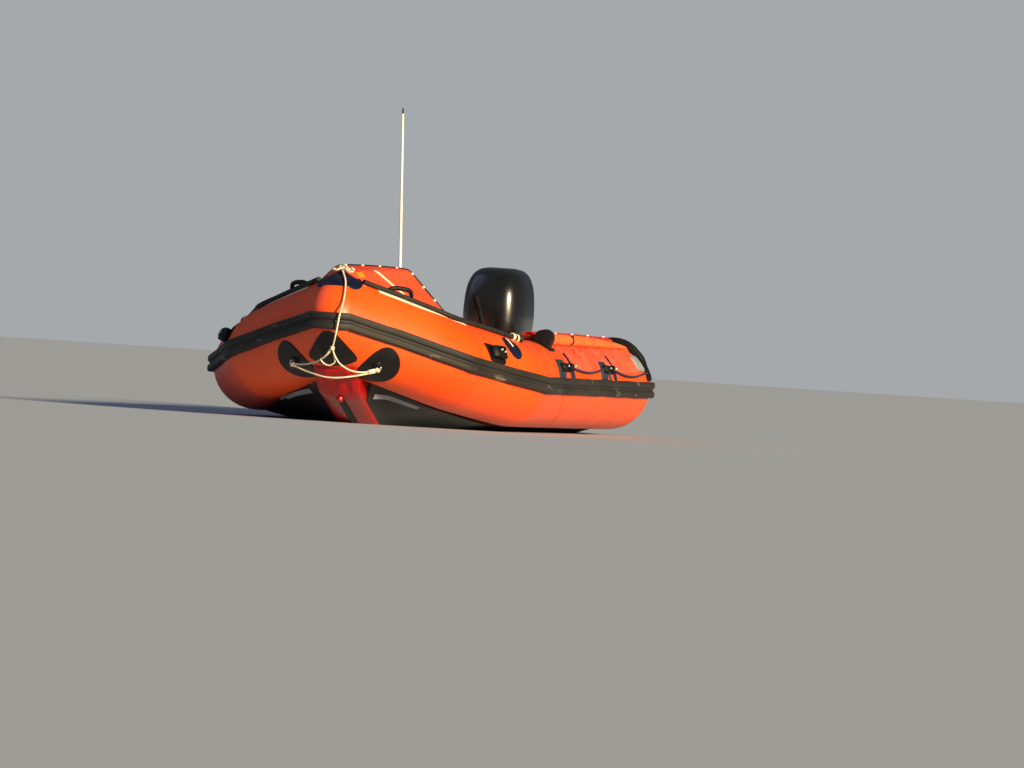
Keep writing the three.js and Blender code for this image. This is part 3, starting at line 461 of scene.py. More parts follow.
# Extruded rubber that rubs on quays: dusty, and scraped along its ribs
STRAKE_RUBBER = Finish(
    "extruded_rubber_scraped", "#222120", "#46413A", 0.6, 0.14, 240, grain=Relief(6, 0.3),
    crease=Relief(90, 0.6), scuffs_and_painted_shade=Marks("#8A8070", 0.32, 60), specular=0.3, stretch=(0.5, 0.5, 1.3),
)
# Moulded rubber stays blacker and evener than the cloth around it
MOULDED_RUBBER = Finish(
    "moulded_rubber_black", "#0B0C0E", "#1A1B1D", 0.5, 0.14, 90, 0.6, Relief(3, 0.15),
    scuffs_and_painted_shade=Marks("#4A4640", 0.12, 16), specular=0.22,
)
# Glued patches pucker a little, and show dried glue and dust along their rims
PATCH_BLACK = Finish(
    "rubber_coated_patch_black", "#0A0B0D", "#191816", 0.42, 0.14, 110, 0.7, Relief(4, 0.2),
    Relief(40, 0.8), Marks("#5A5044", 0.22, 14), specular=0.3,
)
# The navy cloth reads as black with a blue cast where the light rakes it
PATCH_NAVY = Finish(
    "rubber_coated_patch_navy", "#0A0E2A", "#141A38", 0.42, 0.12, 90, 0.7, Relief(4, 0.2),
    scuffs_and_painted_shade=Marks("#6A6A72", 0.2, 16), specular=0.3,
)
# Woven cotton tape, yellowed and grubby
STRIP_CREAM = Finish(
    "cotton_tape_cream", "#F2E6D2", "#D8C4A0", 0.7, 0.1, 60, 0.7, Relief(3, 0.3),
    scuffs_and_painted_shade=Marks("#8A7450", 0.3, 14),
)
# Grey cloth, chalky from the weather
STRIP_GREY = Finish(
    "rubber_coated_tape_grey", "#7C8794", "#A2A8AC", 0.6, 0.12, 80, 0.6, Relief(4, 0.2),
    scuffs_and_painted_shade=Marks("#4A5058", 0.25),
)
# Slate cloth under the grips, rubbed paler by use
STRIP_SLATE = Finish(
    "rubber_coated_tape_slate", "#262C3C", "#3E4454", 0.55, 0.12, 80, 0.6, Relief(4, 0.2),
    scuffs_and_painted_shade=Marks("#8A8E94", 0.2), specular=0.3,
)
# Nylon canvas proofed on one side: it creases sharply and lets the light rake it
DODGER_CANVAS = Finish(
    "proofed_nylon_orange", "#EE4A26", "#F05C38", 0.55, 0.14, 200, 0.6, Relief(4, 0.2), Relief(70, 5),
    Marks("#C23A18", 0.25, 60),
)
# The same canvas rolled up, bleached along the top of the roll
ROLL_CANVAS = Finish(
    "proofed_nylon_orange_rolled", "#F07430", "#EA6028", 0.55, 0.12, 140, 0.6, Relief(4, 0.2),
    Relief(60, 2),
)
# The same canvas glued over the tube: pinker and flatter than the tube's own cloth, with darker marks that
# are painted shade for its creases
COVER_CANVAS = Finish(
    "proofed_nylon_orange_glued", "#E84E30", "#EE6E50", 0.5, 0.14, 160, 0.7, Relief(4, 0.2),
    Relief(70, 5), Marks("#A8402C", 0.22, 34),
)
# A patch of the same canvas that the sun has yellowed
PATCH_AMBER = Finish(
    "proofed_nylon_amber", "#F08A10", "#E87418", 0.5, 0.12, 60, 0.7, crease=Relief(40, 1.5),
)
# Red canvas, darker in its folds
FLAP_RED = Finish(
    "proofed_nylon_red", "#D42A18", "#A81C12", 0.55, 0.12, 90, 0.7, crease=Relief(40, 3),
)
# Laid rope, fuzzy and dull, with dirt between its strands
ROPE_CREAM = Finish(
    "laid_polyester_rope_cream", "#F0E2C6", "#CDB890", 0.75, 0.1, 40, 0.8, Relief(2, 0.4),
)
# Braided rope, dull, with salt dried into it
ROPE_NAVY = Finish(
    "braided_polyester_rope_navy", "#18223C", "#2C3858", 0.75, 0.1, 40, 0.8, Relief(2, 0.4),
)
# Black cord, the coarser weave of the edging
ROPE_BLACK = Finish(
    "braided_polyester_rope_black", "#0C0D0E", "#202224", 0.7, 0.1, 60, 0.8, Relief(3, 0.5),
)
# Moulded nylon: smooth and a little translucent, so it looks bright; the same white also paints the
# highlights on the moulded eye
TOGGLE_WHITE = Finish("moulded_nylon_white", "#E8E6DE", "#C8C2B2", 0.4, 0.08, 30, grain=Relief(4, 0.05))
# Epoxy with grit, drawn coarser than real so that it shows
DECK_GRIT = Finish(
    "epoxy_grit_deck_grey", "#3C4246", "#565B5E", 0.78, 0.12, 240, 0.8, Relief(4, 0.9),
    scuffs_and_painted_shade=Marks("#7E8284", 0.3, 50),
)
# Brushed paint on plywood, satin and knocked
TRANSOM_PAINT = Finish(
    "marine_paint_grey", "#4A5054", "#5E6468", 0.42, 0.12, 200, 0.7, Relief(6, 0.1),
    scuffs_and_painted_shade=Marks("#8A8E90", 0.25, 40),
)
# Baked enamel under a clear coat: deep black with sharp reflections
ENGINE_ENAMEL = Finish(
    "baked_enamel_black", "#0D0E10", "#17191C", 0.3, 0.08, 160, 0.6, Relief(3, 0.03),
    scuffs_and_painted_shade=Marks("#4A4C50", 0.06, 20), coat=0.5,
)
# Painted castings: the paint softens the casting's grain and chips at the edges
ENGINE_CASTING = Finish(
    "painted_aluminium_casting_black", "#131518", "#24272A", 0.42, 0.12, 120, 0.6, Relief(4, 0.15),
    scuffs_and_painted_shade=Marks("#6A6E72", 0.16, 18),
)
# Moulded polypropylene, an even satin grey
ENGINE_TRIM = Finish("moulded_polypropylene_grey", "#3A3D40", "#4A4D50", 0.5, 0.08, 80, grain=Relief(2, 0.1))
# Brushed steel, its fine lines drawn out along one way
STAINLESS = Finish(
    "brushed_stainless_steel", "#C6C8C9", "#A4A6A8", 0.28, 0.14, 30, 0.5, Relief(2, 0.04), metallic=1.0,
    stretch=(1.0, 1.0, 5.0),
)
# Anodised aluminium, duller than the steel
ALUMINIUM = Finish(
    "anodised_aluminium", "#A2A5A7", "#8A8D90", 0.4, 0.12, 60, 0.6, Relief(4, 0.05), metallic=1.0,
)
# Cast zinc, pitted and chalky from its work
ZINC = Finish("cast_zinc_anode", "#8C8F90", "#6E706E", 0.6, 0.1, 12, grain=Relief(4, 0.4), metallic=0.7)
# Painted fibreglass: smooth, bright and slightly glossy
FIBREGLASS_WHITE = Finish(
    "painted_fibreglass_white", "#F2F1EC", "#DCD9CF", 0.3, 0.06, 60, grain=None, coat=0.3,
)
# Nitrile on cloth, plump and a little greasy
FUEL_RUBBER = Finish(
    "nitrile_cloth_black", "#111214", "#232527", 0.46, 0.14, 90, 0.6, crease=Relief(60, 2.5),
)


def new_ring(bm: Shape, places: Places, closed: bool = True) -> list[bmesh.types.BMVert]:
    """Starts a shape from a ring, or a line, of vertices joined by edges.

    Args:
        bm: The empty mesh.
        places: Where the vertices go.
        closed: Whether the ring closes on itself.

    Returns:
        The vertices, in order.
    """
    ring = [bm.verts.new(place) for place in places]
    for first, second in zip(ring, ring[1:] + (ring[:1] if closed else [])):
        bm.edges.new((first, second))
    return ring


def pull(
    bm: Shape, ring: list[bmesh.types.BMVert], places: Places, closed: bool = True
) -> list[bmesh.types.BMVert]:
    """Extrudes a ring of vertices to new places.

    Args:
        bm: The mesh that is being shaped.
        ring: The vertices of the ring's edge loop, in order.
        places: Where each of them goes.
        closed: Whether the ring closes on itself.

    Returns:
        The new ring, in the same order.
    """
    pairs = zip(ring, ring[1:] + (ring[:1] if closed else []))
    edges = [bm.edges.get(pair) for pair in pairs]
    grown = bmesh.ops.extrude_edge_only(bm, edges=edges)["geom"]
    fresh = {item for item in grown if isinstance(item, bmesh.types.BMVert)}
    pulled = []
    for vert, place in zip(ring, places):
        twin = next(e.other_vert(vert) for e in vert.link_edges if e.other_vert(vert) in fresh)
        twin.co = place
        pulled.append(twin)
    return pulled


def skin(rings: Sequence[Places], caps: bool = True, closed: bool = True) -> Shape:
    """Makes a skin through rings of places.

    Args:
        rings: The rings, from one end to the other, with as many places in each.
        caps: Whether both ends are closed with a face.
        closed: Whether each ring closes on itself.

    Returns:
        The mesh, its faces pointing outwards.
    """
    bm = bmesh.new()
    first = ring = new_ring(bm, rings[0], closed)
    for places in rings[1:]:
        ring = pull(bm, ring, places, closed)
    if caps:
        bm.faces.new(first)
        bm.faces.new(ring)
    bmesh.ops.recalc_face_normals(bm, faces=bm.faces)
    return bm


def circle(count: int) -> list[Pair]:
    """Gives the cosine and sine of angles spread evenly around a circle."""
    return [(math.cos(t), math.sin(t)) for t in (2 * math.pi * step / count for step in range(count))]


def wheel(middle: Vector, across: Vector, upright: Vector, radius: float, count: int) -> list[Vector]:
    """Gives the points of a circle around a middle, from two directions in its plane."""
    return [middle + (across * c + upright * s) * radius for c, s in circle(count)]


def oval(half_u: float, half_v: float, power: float = 2.0, count: int = 40) -> list[Pair]:
    """Gives an oval outline.

    Args:
        half_u: Half its first size.
        half_v: Half its second size.
        power: 2 for an ellipse, and more for a squarer outline.
        count: How many points it has.

    Returns:
        The points.
    """
    return [
        (math.copysign(abs(c) ** (2 / power), c) * half_u, math.copysign(abs(s) ** (2 / power), s) * half_v)
        for c, s in circle(count)
    ]


def level_oval(middle: Sequence[float], halves: Pair, power: float, count: int) -> list[Vector]:
    """Gives the points of an oval that lies level around its middle."""
    x, y, z = middle
    return [Vector((x + u, y + v, z)) for u, v in oval(*halves, power, count)]


def bend(first: Vector, corner: Vector, last: Vector, share: float) -> Vector:
    """Gives a point of the soft bend that a corner draws between two points."""
    return first.lerp(corner, share).lerp(corner.lerp(last, share), share)


def rounded(corners: Outline, rounding: float, steps: int = 4) -> list[Pair]:
    """Rounds the corners of an outline.

    Args:
        corners: The corners, in order.
        rounding: How far from a corner its rounding starts.
        steps: How many points each corner and each straight edge gets.

    Returns:
        The points of the rounded outline.
    """
    points = [Vector(corner) for corner in corners]
    outline = []
    for before, corner, after in zip(points[-1:] + points[:-1], points, points[1:] + points[:1]):
        start = corner + (before - corner).normalized() * rounding
        end = corner + (after - corner).normalized() * rounding
        outline.extend(tuple(bend(start, corner, end, step / steps)) for step in range(steps + 1))
        leave = after + (corner - after).normalized() * rounding
        outline.extend(tuple(end.lerp(leave, step / steps)) for step in range(1, steps))
    return outline


def moulding(outline: Sequence[Pair], steps: Sequence[Pair]) -> Shape:
    """Raises an outline in steps, each with the outline's scale and its height, as a mould does."""
    return skin([[Vector((u * scale, v * scale, lift)) for u, v in outline] for scale, lift in steps])


def patch_steps(thickness: float, sunk: float = 0.004) -> list[Pair]:
    """Gives the steps of a glued patch, with a thin rounded rim, close enough to follow a tube."""
    rim = [(1.0, -sunk), (1.0, thickness * 0.5), (0.985, thickness * 0.95), (0.96, thickness)]
    return rim + [(scale, thickness) for scale in (0.85, 0.72, 0.58, 0.44, 0.3, 0.16, 0.04)]


def dome_steps(height: float, sunk: float = 0.006, edge: float = 0.8) -> list[Pair]:
    """Gives the steps of a moulded dome with rounded shoulders.

    Args:
        height: The height of its shoulders.
        sunk: How far its foot reaches below the skin.
        edge: The share of its outline where the shoulders start.

    Returns:
        The outline's scale and the height of each step.
    """
    turns = (0.35, 0.7, 1.05, 1.35, math.pi / 2)
    arc = [(edge + (1 - edge) * math.cos(t), height * math.sin(t)) for t in turns]
    return [(1.0, -sunk), (1.0, 0.0), *arc, (edge * 0.6, height * 1.02), (edge * 0.2, height * 1.03)]


def plate(outline: Sequence[Pair], view: View, layers: Sequence[Pair], middle: Pair = (0.0, 0.0)) -> Shape:
    """Cuts a plate to an outline.

    Args:
        outline: The plate's outline.
        view: The view that it is drawn in.
        layers: From face to face, a depth and the outline's scale there.
        middle: The place in the outline that the scale keeps.

    Returns:
        The closed mesh.
    """
    rings = []
    for depth, scale in layers:
        ring = []
        for u, v in outline:
            place = Vector()
            drawn = (middle[0] + (u - middle[0]) * scale, middle[1] + (v - middle[1]) * scale, depth)
            for axis, value in zip(view.value, drawn):
                place[axis] = value
            ring.append(place)
        rings.append(ring)
    return skin(rings)


def lathed(start: Vector, way: Vector, profile: Sequence[Pair], count: int) -> Shape:
    """Turns a profile, as distances along and off an axis that is square to the boat's beam."""
    return skin([wheel(start + way * run, ABEAM, way.cross(ABEAM), radius, count) for run, radius in profile])


def moved(bm: Shape, matrix: Matrix) -> Shape:
    """Moves a whole mesh, and keeps its faces pointing out.

    Args:
        bm: The mesh.
        matrix: The move, turn or mirroring.

    Returns:
        The same mesh.
    """
    bmesh.ops.transform(bm, matrix=matrix, verts=bm.verts)
    if matrix.determinant() < 0:
        bmesh.ops.reverse_faces(bm, faces=bm.faces)
    return bm


def mirrored(bm: Shape) -> Shape:
    """Gives the mesh's image on the other side of the boat."""
    return moved(bm.copy(), Matrix.Scale(-1, 4, ABEAM))


def other_side(line: Places) -> list[Vector]:
    """Gives the image of a line on the other side of the boat."""
    return [Vector((p.x, -p.y, p.z)) for p in line]


def joined(*shapes: Shape) -> Shape:
    """Joins shapes into the first one.

    Args:
        shapes: The shapes, of which all but the first are freed.

    Returns:
        The first shape.
    """
    whole = shapes[0]
    for shape in shapes[1:]:
        spare = bpy.data.meshes.new("joining")
        shape.to_mesh(spare)
        whole.from_mesh(spare)
        bpy.data.meshes.remove(spare)
        shape.free()
    return whole


def turned_up(way: Vector) -> Matrix:
    """Gives the turn that lays the upward direction along a way."""
    return UP.rotation_difference(way).to_matrix().to_4x4()


def rod(
    start: Sequence[float], end: Sequence[float], radius: float, end_radius: float | None = None,
    sides: int = 16,
) -> Shape:
    """Makes a round rod between two points, with slightly rounded ends.

    Args:
        start: The middle of its first end.
        end: The middle of its other end.
        radius: Its radius.
        end_radius: Its radius at the other end, where it tapers.
        sides: Points around it.

    Returns:
        The closed mesh.
    """
    start, end = Vector(start), Vector(end)
    bm = bmesh.new()
    bmesh.ops.create_cone(
        bm, cap_ends=True, segments=sides, radius1=radius,
        radius2=radius if end_radius is None else end_radius, depth=(end - start).length,
    )
    rims = [e for e in bm.edges if any(len(f.verts) > 4 for f in e.link_faces)]
    bmesh.ops.bevel(
        bm, geom=rims, offset=min(radius * 0.15, 0.002), affect="EDGES", segments=2, profile=0.5, material=-1,
        offset_type="OFFSET",
    )
    return moved(bm, Matrix.Translation((start + end) / 2) @ turned_up(end - start))


def slab(low: Sequence[float], high: Sequence[float], rounding: float = 0.003) -> Shape:
    """Makes a box with its edges rounded.

    Args:
        low: Its lowest corner.
        high: Its highest corner.
        rounding: The rounding of its edges.

    Returns:
        The closed mesh.
    """
    bm = bmesh.new()
    size = Vector(high) - Vector(low)
    bmesh.ops.create_cube(bm, size=1.0)
    moved(bm, Matrix.Translation((Vector(high) + Vector(low)) / 2) @ Matrix.Diagonal((*size, 1.0)))
    bmesh.ops.bevel(
        bm, geom=bm.edges[:], offset=min(rounding, min(size) * 0.45), affect="EDGES", segments=2, profile=0.5,
        material=-1, offset_type="OFFSET",
    )
    return bm


def bolt(at: Vector, way: Vector, radius: float = 0.008) -> Shape:
    """Makes a domed bolt head on its washer, standing out of a face."""
    washer = rod(at, at + way * 0.002, radius * 1.5)
    return joined(washer, rod(at + way * 0.001, at + way * (0.002 + radius * 0.7), radius, radius * 0.75, 6))


def studs(seat: Matrix, places: Iterable[Pair], low: float, high: float) -> Shape:
    """Makes the studs that stand on a moulding, by their places in its frame; on the moulded eye they are
    painted highlights.
    """
    ends = [[seat @ Vector((x, y, z)) for z in (low, high)] for x, y in places]
    return joined(*(rod(*pair, 0.006, 0.0045) for pair in ends))


def smooth_route(route: Sequence[Sequence[float]], steps: int) -> list[Vector]:
    """Runs a centripetal Catmull-Rom curve through the points of a route.

    Args:
        route: The points, as given.
        steps: How many points there are for each of its stretches.

    Returns:
        The points along the curve, both ends included.
    """
    points = [Vector(p) for p in route]
    points = [points[0] * 2 - points[1], *points, points[-1] * 2 - points[-2]]
    line = []
    for a, b, c, d in zip(points, points[1:], points[2:], points[3:]):
        knots = [0.0]
        for first, second in ((a, b), (b, c), (c, d)):
            knots.append(knots[-1] + max((second - first).length, 1e-6) ** 0.5)
        for step in range(steps):
            t = knots[1] + (knots[2] - knots[1]) * step / steps
            ladder = [a, b, c, d]
            for level in (1, 2):
                ladder = [
                    p.lerp(q, (t - knots[i]) / (knots[i + level] - knots[i]))
                    for i, (p, q) in enumerate(zip(ladder, ladder[1:]))
                ]
            line.append(ladder[0].lerp(ladder[1], (t - knots[1]) / (knots[2] - knots[1])))
    return [*line, points[-2]]


def evenly(line: Places, spacing: float) -> list[Vector]:
    """Spreads points evenly along a line.

    Args:
        line: The line's own points.
        spacing: How far apart the new points come, at most.

    Returns:
        The points, both ends included.
    """
    runs = [0.0]
    for first, second in zip(line, line[1:]):
        runs.append(runs[-1] + (second - first).length)
    count = max(2, math.ceil(runs[-1] / spacing) + 1)
    result, at = [], 0
    for index in range(count):
        want = runs[-1] * index / (count - 1)
        while at < len(line) - 2 and runs[at + 1] < want:
            at += 1
        share = (want - runs[at]) / max(runs[at + 1] - runs[at], 1e-9)
        result.append(line[at].lerp(line[at + 1], min(share, 1.0)))
    return result


def run_through(route: Sequence[Sequence[float]], spacing: float, steps: int = 10) -> list[Vector]:
    """Spreads points evenly along the smooth curve through a route."""
    return evenly(smooth_route(route, steps), spacing)


def eased_rows(rows: Sequence[Sequence[float]], steps: int) -> list[Vector]:
    """Runs smoothly through rows of values, such as the sizes of a form's sections.

    Args:
        rows: The rows, each with as many values.
        steps: How many rows come out for each stretch.

    Returns:
        The rows, both ends included.
    """
    known = [Vector(row) for row in rows]
    known = [known[0] * 2 - known[1], *known, known[-1] * 2 - known[-2]]
    eased = []
    for a, b, c, d in zip(known, known[1:], known[2:], known[3:]):
        for step in range(steps):
            t = step / steps
            square = (a * 2 - b * 5 + c * 4 - d) * (t * t / 2)
            eased.append(b + (c - a) * (t / 2) + square + (b * 3 - a - c * 3 + d) * (t**3 / 2))
    return [*eased, known[-2]]


def fade(distance: float, width: float) -> float:
    """Gives how strongly something near is felt, from 1 down to 0 past its width."""
    return math.exp(-((distance / width) ** 2))


def lumps(*place: float) -> float:
    """Gives the height of soft lumps at a place, from -1 to 1."""
    return noise.noise(Vector(place))


def hose(
    line: Places, radius: Callable[[float], float] | float, sides: int = 12, strands: int = 0,
    lay: float = 0.05,
) -> Shape:
    """Makes a tube along a line, or a rope of laid strands.

    Args:
        line: The points of the centreline.
        radius: The radius, or a function of the share of the line.
        sides: Points around the tube.
        strands: How many strands show around a rope, or 0 for a plain tube.
        lay: The length in which a strand turns once.

    Returns:
        The closed mesh.
    """
    rings: list[list[Vector]] = []
    run, across = 0.0, None
    for index, at in enumerate(line):
        ahead = line[min(index + 1, len(line) - 1)] - line[max(index - 1, 0)]
        ahead.normalize()
        if across is None:
            across = ahead.orthogonal().normalized()
        across = (across - ahead * across.dot(ahead)).normalized()
        upright = ahead.cross(across)
        run += (at - line[index - 1]).length if index else 0.0
        size = radius(index / (len(line) - 1)) if callable(radius) else radius
        ring = []
        for side, (c, s) in enumerate(circle(sides)):
            swell = 1.0
            if strands:
                swell = 0.82 + 0.18 * abs(math.cos(strands * math.pi * (side / sides - run / lay)))
            ring.append(at + (across * c + upright * s) * size * swell)
        rings.append(ring)
    return skin(rings)


# How many points there are in a turn of thin line wound around a rope
TURN_POINTS = 14


def coil(start: Vector, run: Vector, reach: Callable[[float], float], turns: int) -> list[Vector]:
    """Winds a line around an axis.

    Args:
        start: Where the axis starts.
        run: The way and the length of the winding.
        reach: Gives the distance off the axis from the angle wound so far.
        turns: How many turns there are.

    Returns:
        The points of the line.
    """
    way = run.normalized()
    across = way.orthogonal().normalized()
    upright = way.cross(across)
    line = []
    for step in range(TURN_POINTS * turns + 1):
        turn = 2 * math.pi * step / TURN_POINTS
        place = start + run * (step / (TURN_POINTS * turns))
        line.append(place + (across * math.cos(turn) + upright * math.sin(turn)) * reach(turn))
    return line


def knot(at: Vector, radius: float, axis: Vector, size: float) -> Shape:
    """Makes a rope's knot: three turns of the rope wound tightly around a point.

    Args:
        at: The middle of the knot.
        radius: The rope's radius.
        axis: The way that the turns stack up.
        size: How many times the rope's radius the knot reaches.

    Returns:
        The closed mesh.
    """
    run = axis.normalized() * radius * 3.3
    slack = radius * (size - 1)
    line = coil(at - run / 2, run, lambda turn: slack * (0.75 + 0.25 * math.sin(turn * 1.5)), 3)
    return hose(line, radius * 1.02, 10)


def whipping(start: Vector, end: Vector, reach: float, wire: float, turns: int) -> Shape:
    """Makes turns of thin line wound side by side around a rope, between two of its points."""
    return hose(coil(start, end - start, lambda turn: reach, turns), wire, 8)


def side_name(name: str, side: Side) -> str:
    """Adds the side to the name of one of a pair."""
    return f"{name}_{side.name.lower()}"


def install(
    name: str, bm: Shape, finish: Finish, replaces: Iterable[str] = (),
    smooth: float = 38.0, body: str = "hull",
) -> Piece:
    """Puts a finished mesh into the scene, on the body that it moves with.

    Args:
        name: The piece's name.
        bm: Its mesh, which is freed.
        finish: Its finish.
        replaces: The solids that it stands for.
        smooth: Edges sharper than this many degrees stay sharp.
        body: The body that it rides on.

    Returns:
        The piece's object.
    """
    mesh = bpy.data.meshes.new(name)
    bm.to_mesh(mesh)
    bm.free()
    mesh.materials.append(finish.material())
    mesh.polygons.foreach_set("use_smooth", [True] * len(mesh.polygons))
    mesh.set_sharp_from_angle(angle=math.radians(smooth))
    piece = bpy.data.objects.new(name, mesh)
    bpy.context.scene.collection.objects.link(piece)
    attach(piece, body)
    nodes = list(replaces)
    if nodes:
        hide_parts(*nodes)
    LOG.info("%s: %d faces", name, len(mesh.polygons))
    return piece


def install_pair(
    name: str, bm: Shape, finish: Finish, replaces: Iterable[str] = (),
    smooth: float = 38.0,
) -> list[Piece]:
    """Installs a port piece and its mirror image, standing for the solids of their own sides.

    Args:
        name: The pair's name, without the sides.
        bm: The port mesh.
        finish: Their finish.
        replaces: The solids that they stand for, without the sides.
        smooth: Edges sharper than this many degrees stay sharp.

    Returns:
        The port piece and the starboard one.
    """
    pieces = []
    for side, shape in zip(Side, (bm, mirrored(bm))):
        nodes = [side_name(node, side) for node in replaces]
        pieces.append(install(side_name(name, side), shape, finish, nodes, smooth))
    return pieces


def dress_node(name: str, finish: Finish, rounding: float) -> None:
    """Gives a solid of the frame its finish, and rounds its edges.

    Args:
        name: The solid's node.
        finish: Its finish.
        rounding: The width of the rounding.
    """
    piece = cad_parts[name]
    piece.data.materials.clear()
    piece.data.materials.append(finish.material())
    bevel = piece.modifiers.new("rounding", "BEVEL")
    bevel.width = rounding
    bevel.segments = 2
    bevel.limit_method = "ANGLE"
    bevel.angle_limit = math.radians(35)


class TubeSkin:
    """The finished skin of the air tubes, which patches and fittings are laid on."""

    def __init__(self, pieces: Sequence[Piece]) -> None:
        """Gathers the skin of some pieces.

        Args:
            pieces: The pieces, such as the lengths of the tubes.
        """
        verts: list[Vector] = []
        faces: list[tuple[int, ...]] = []
        for piece in pieces:
            start = len(verts)
            verts.extend(v.co.copy() for v in piece.data.vertices)
            faces.extend(tuple(start + i for i in p.vertices) for p in piece.data.polygons)
        self.tree = BVHTree.FromPolygons(verts, faces)

    def nearest(self, at: Vector) -> tuple[Vector, Vector]:
        """Gives the nearest place on the skin, and the skin's normal there."""
        return self.tree.find_nearest(at)[:2]

    def below(self, at: Vector) -> tuple[Vector, Vector]:
        """Gives the place on the skin straight below a point, and the skin's normal there."""
        return self.tree.ray_cast(at, -UP)[:2]

    def band(self, line: Places, half_width: float, thickness: float) -> Shape:
        """Glues a flat strip to the skin along a line.

        Args:
            line: Points on or near the skin.
            half_width: Half the strip's width.
            thickness: How far it stands off the skin.

        Returns:
            The closed strip.
        """
        spots = [self.nearest(at) for at in line]
        rim = half_width - 0.0015
        half = [(half_width, -0.003), (half_width, thickness * 0.6), (rim, thickness), (rim / 3, thickness)]
        section = [(-offset, height) for offset, height in half] + half[::-1]
        rings = []
        for index, (place, normal) in enumerate(spots):
            ahead = spots[min(index + 1, len(spots) - 1)][0] - spots[max(index - 1, 0)][0]
            across = normal.cross(ahead).normalized()
            ring = []
            for offset, height in section:
                at, out = self.nearest(place + across * offset)
                ring.append(at + out * height)
            rings.append(ring)
        return skin(rings)

    def drape(self, bm: Shape, seat: Matrix, reach: float = 0.16) -> Shape:
        """Lays a mesh, made flat in a frame on the skin, over the tubes.

        Args:
            bm: The mesh, with its height above the skin along Z.
            seat: Where its origin and axes lie.
            reach: How far above the frame the skin is looked for.

        Returns:
            The same mesh, bent to the tubes.
        """
        out = seat.to_3x3() @ UP
        for vert in bm.verts:
            flat = seat @ Vector((vert.co.x, vert.co.y, 0.0))
            place, normal, _, _ = self.tree.ray_cast(flat + out * reach, -out)
            if place is None:
                place, normal = self.nearest(flat)
            if normal.dot(out) < 0:
                normal = -normal
            vert.co = place + (normal * 0.7 + out * 0.3).normalized() * vert.co.z
        return bm

    def patch(
        self, outline: Sequence[Pair], seat: Matrix, thickness: float = 0.006, reach: float = 0.16,
    ) -> Shape:
        """Glues a patch to the tubes, by its outline in a frame on their skin."""
        return self.drape(moulding(outline, patch_steps(thickness)), seat, reach)


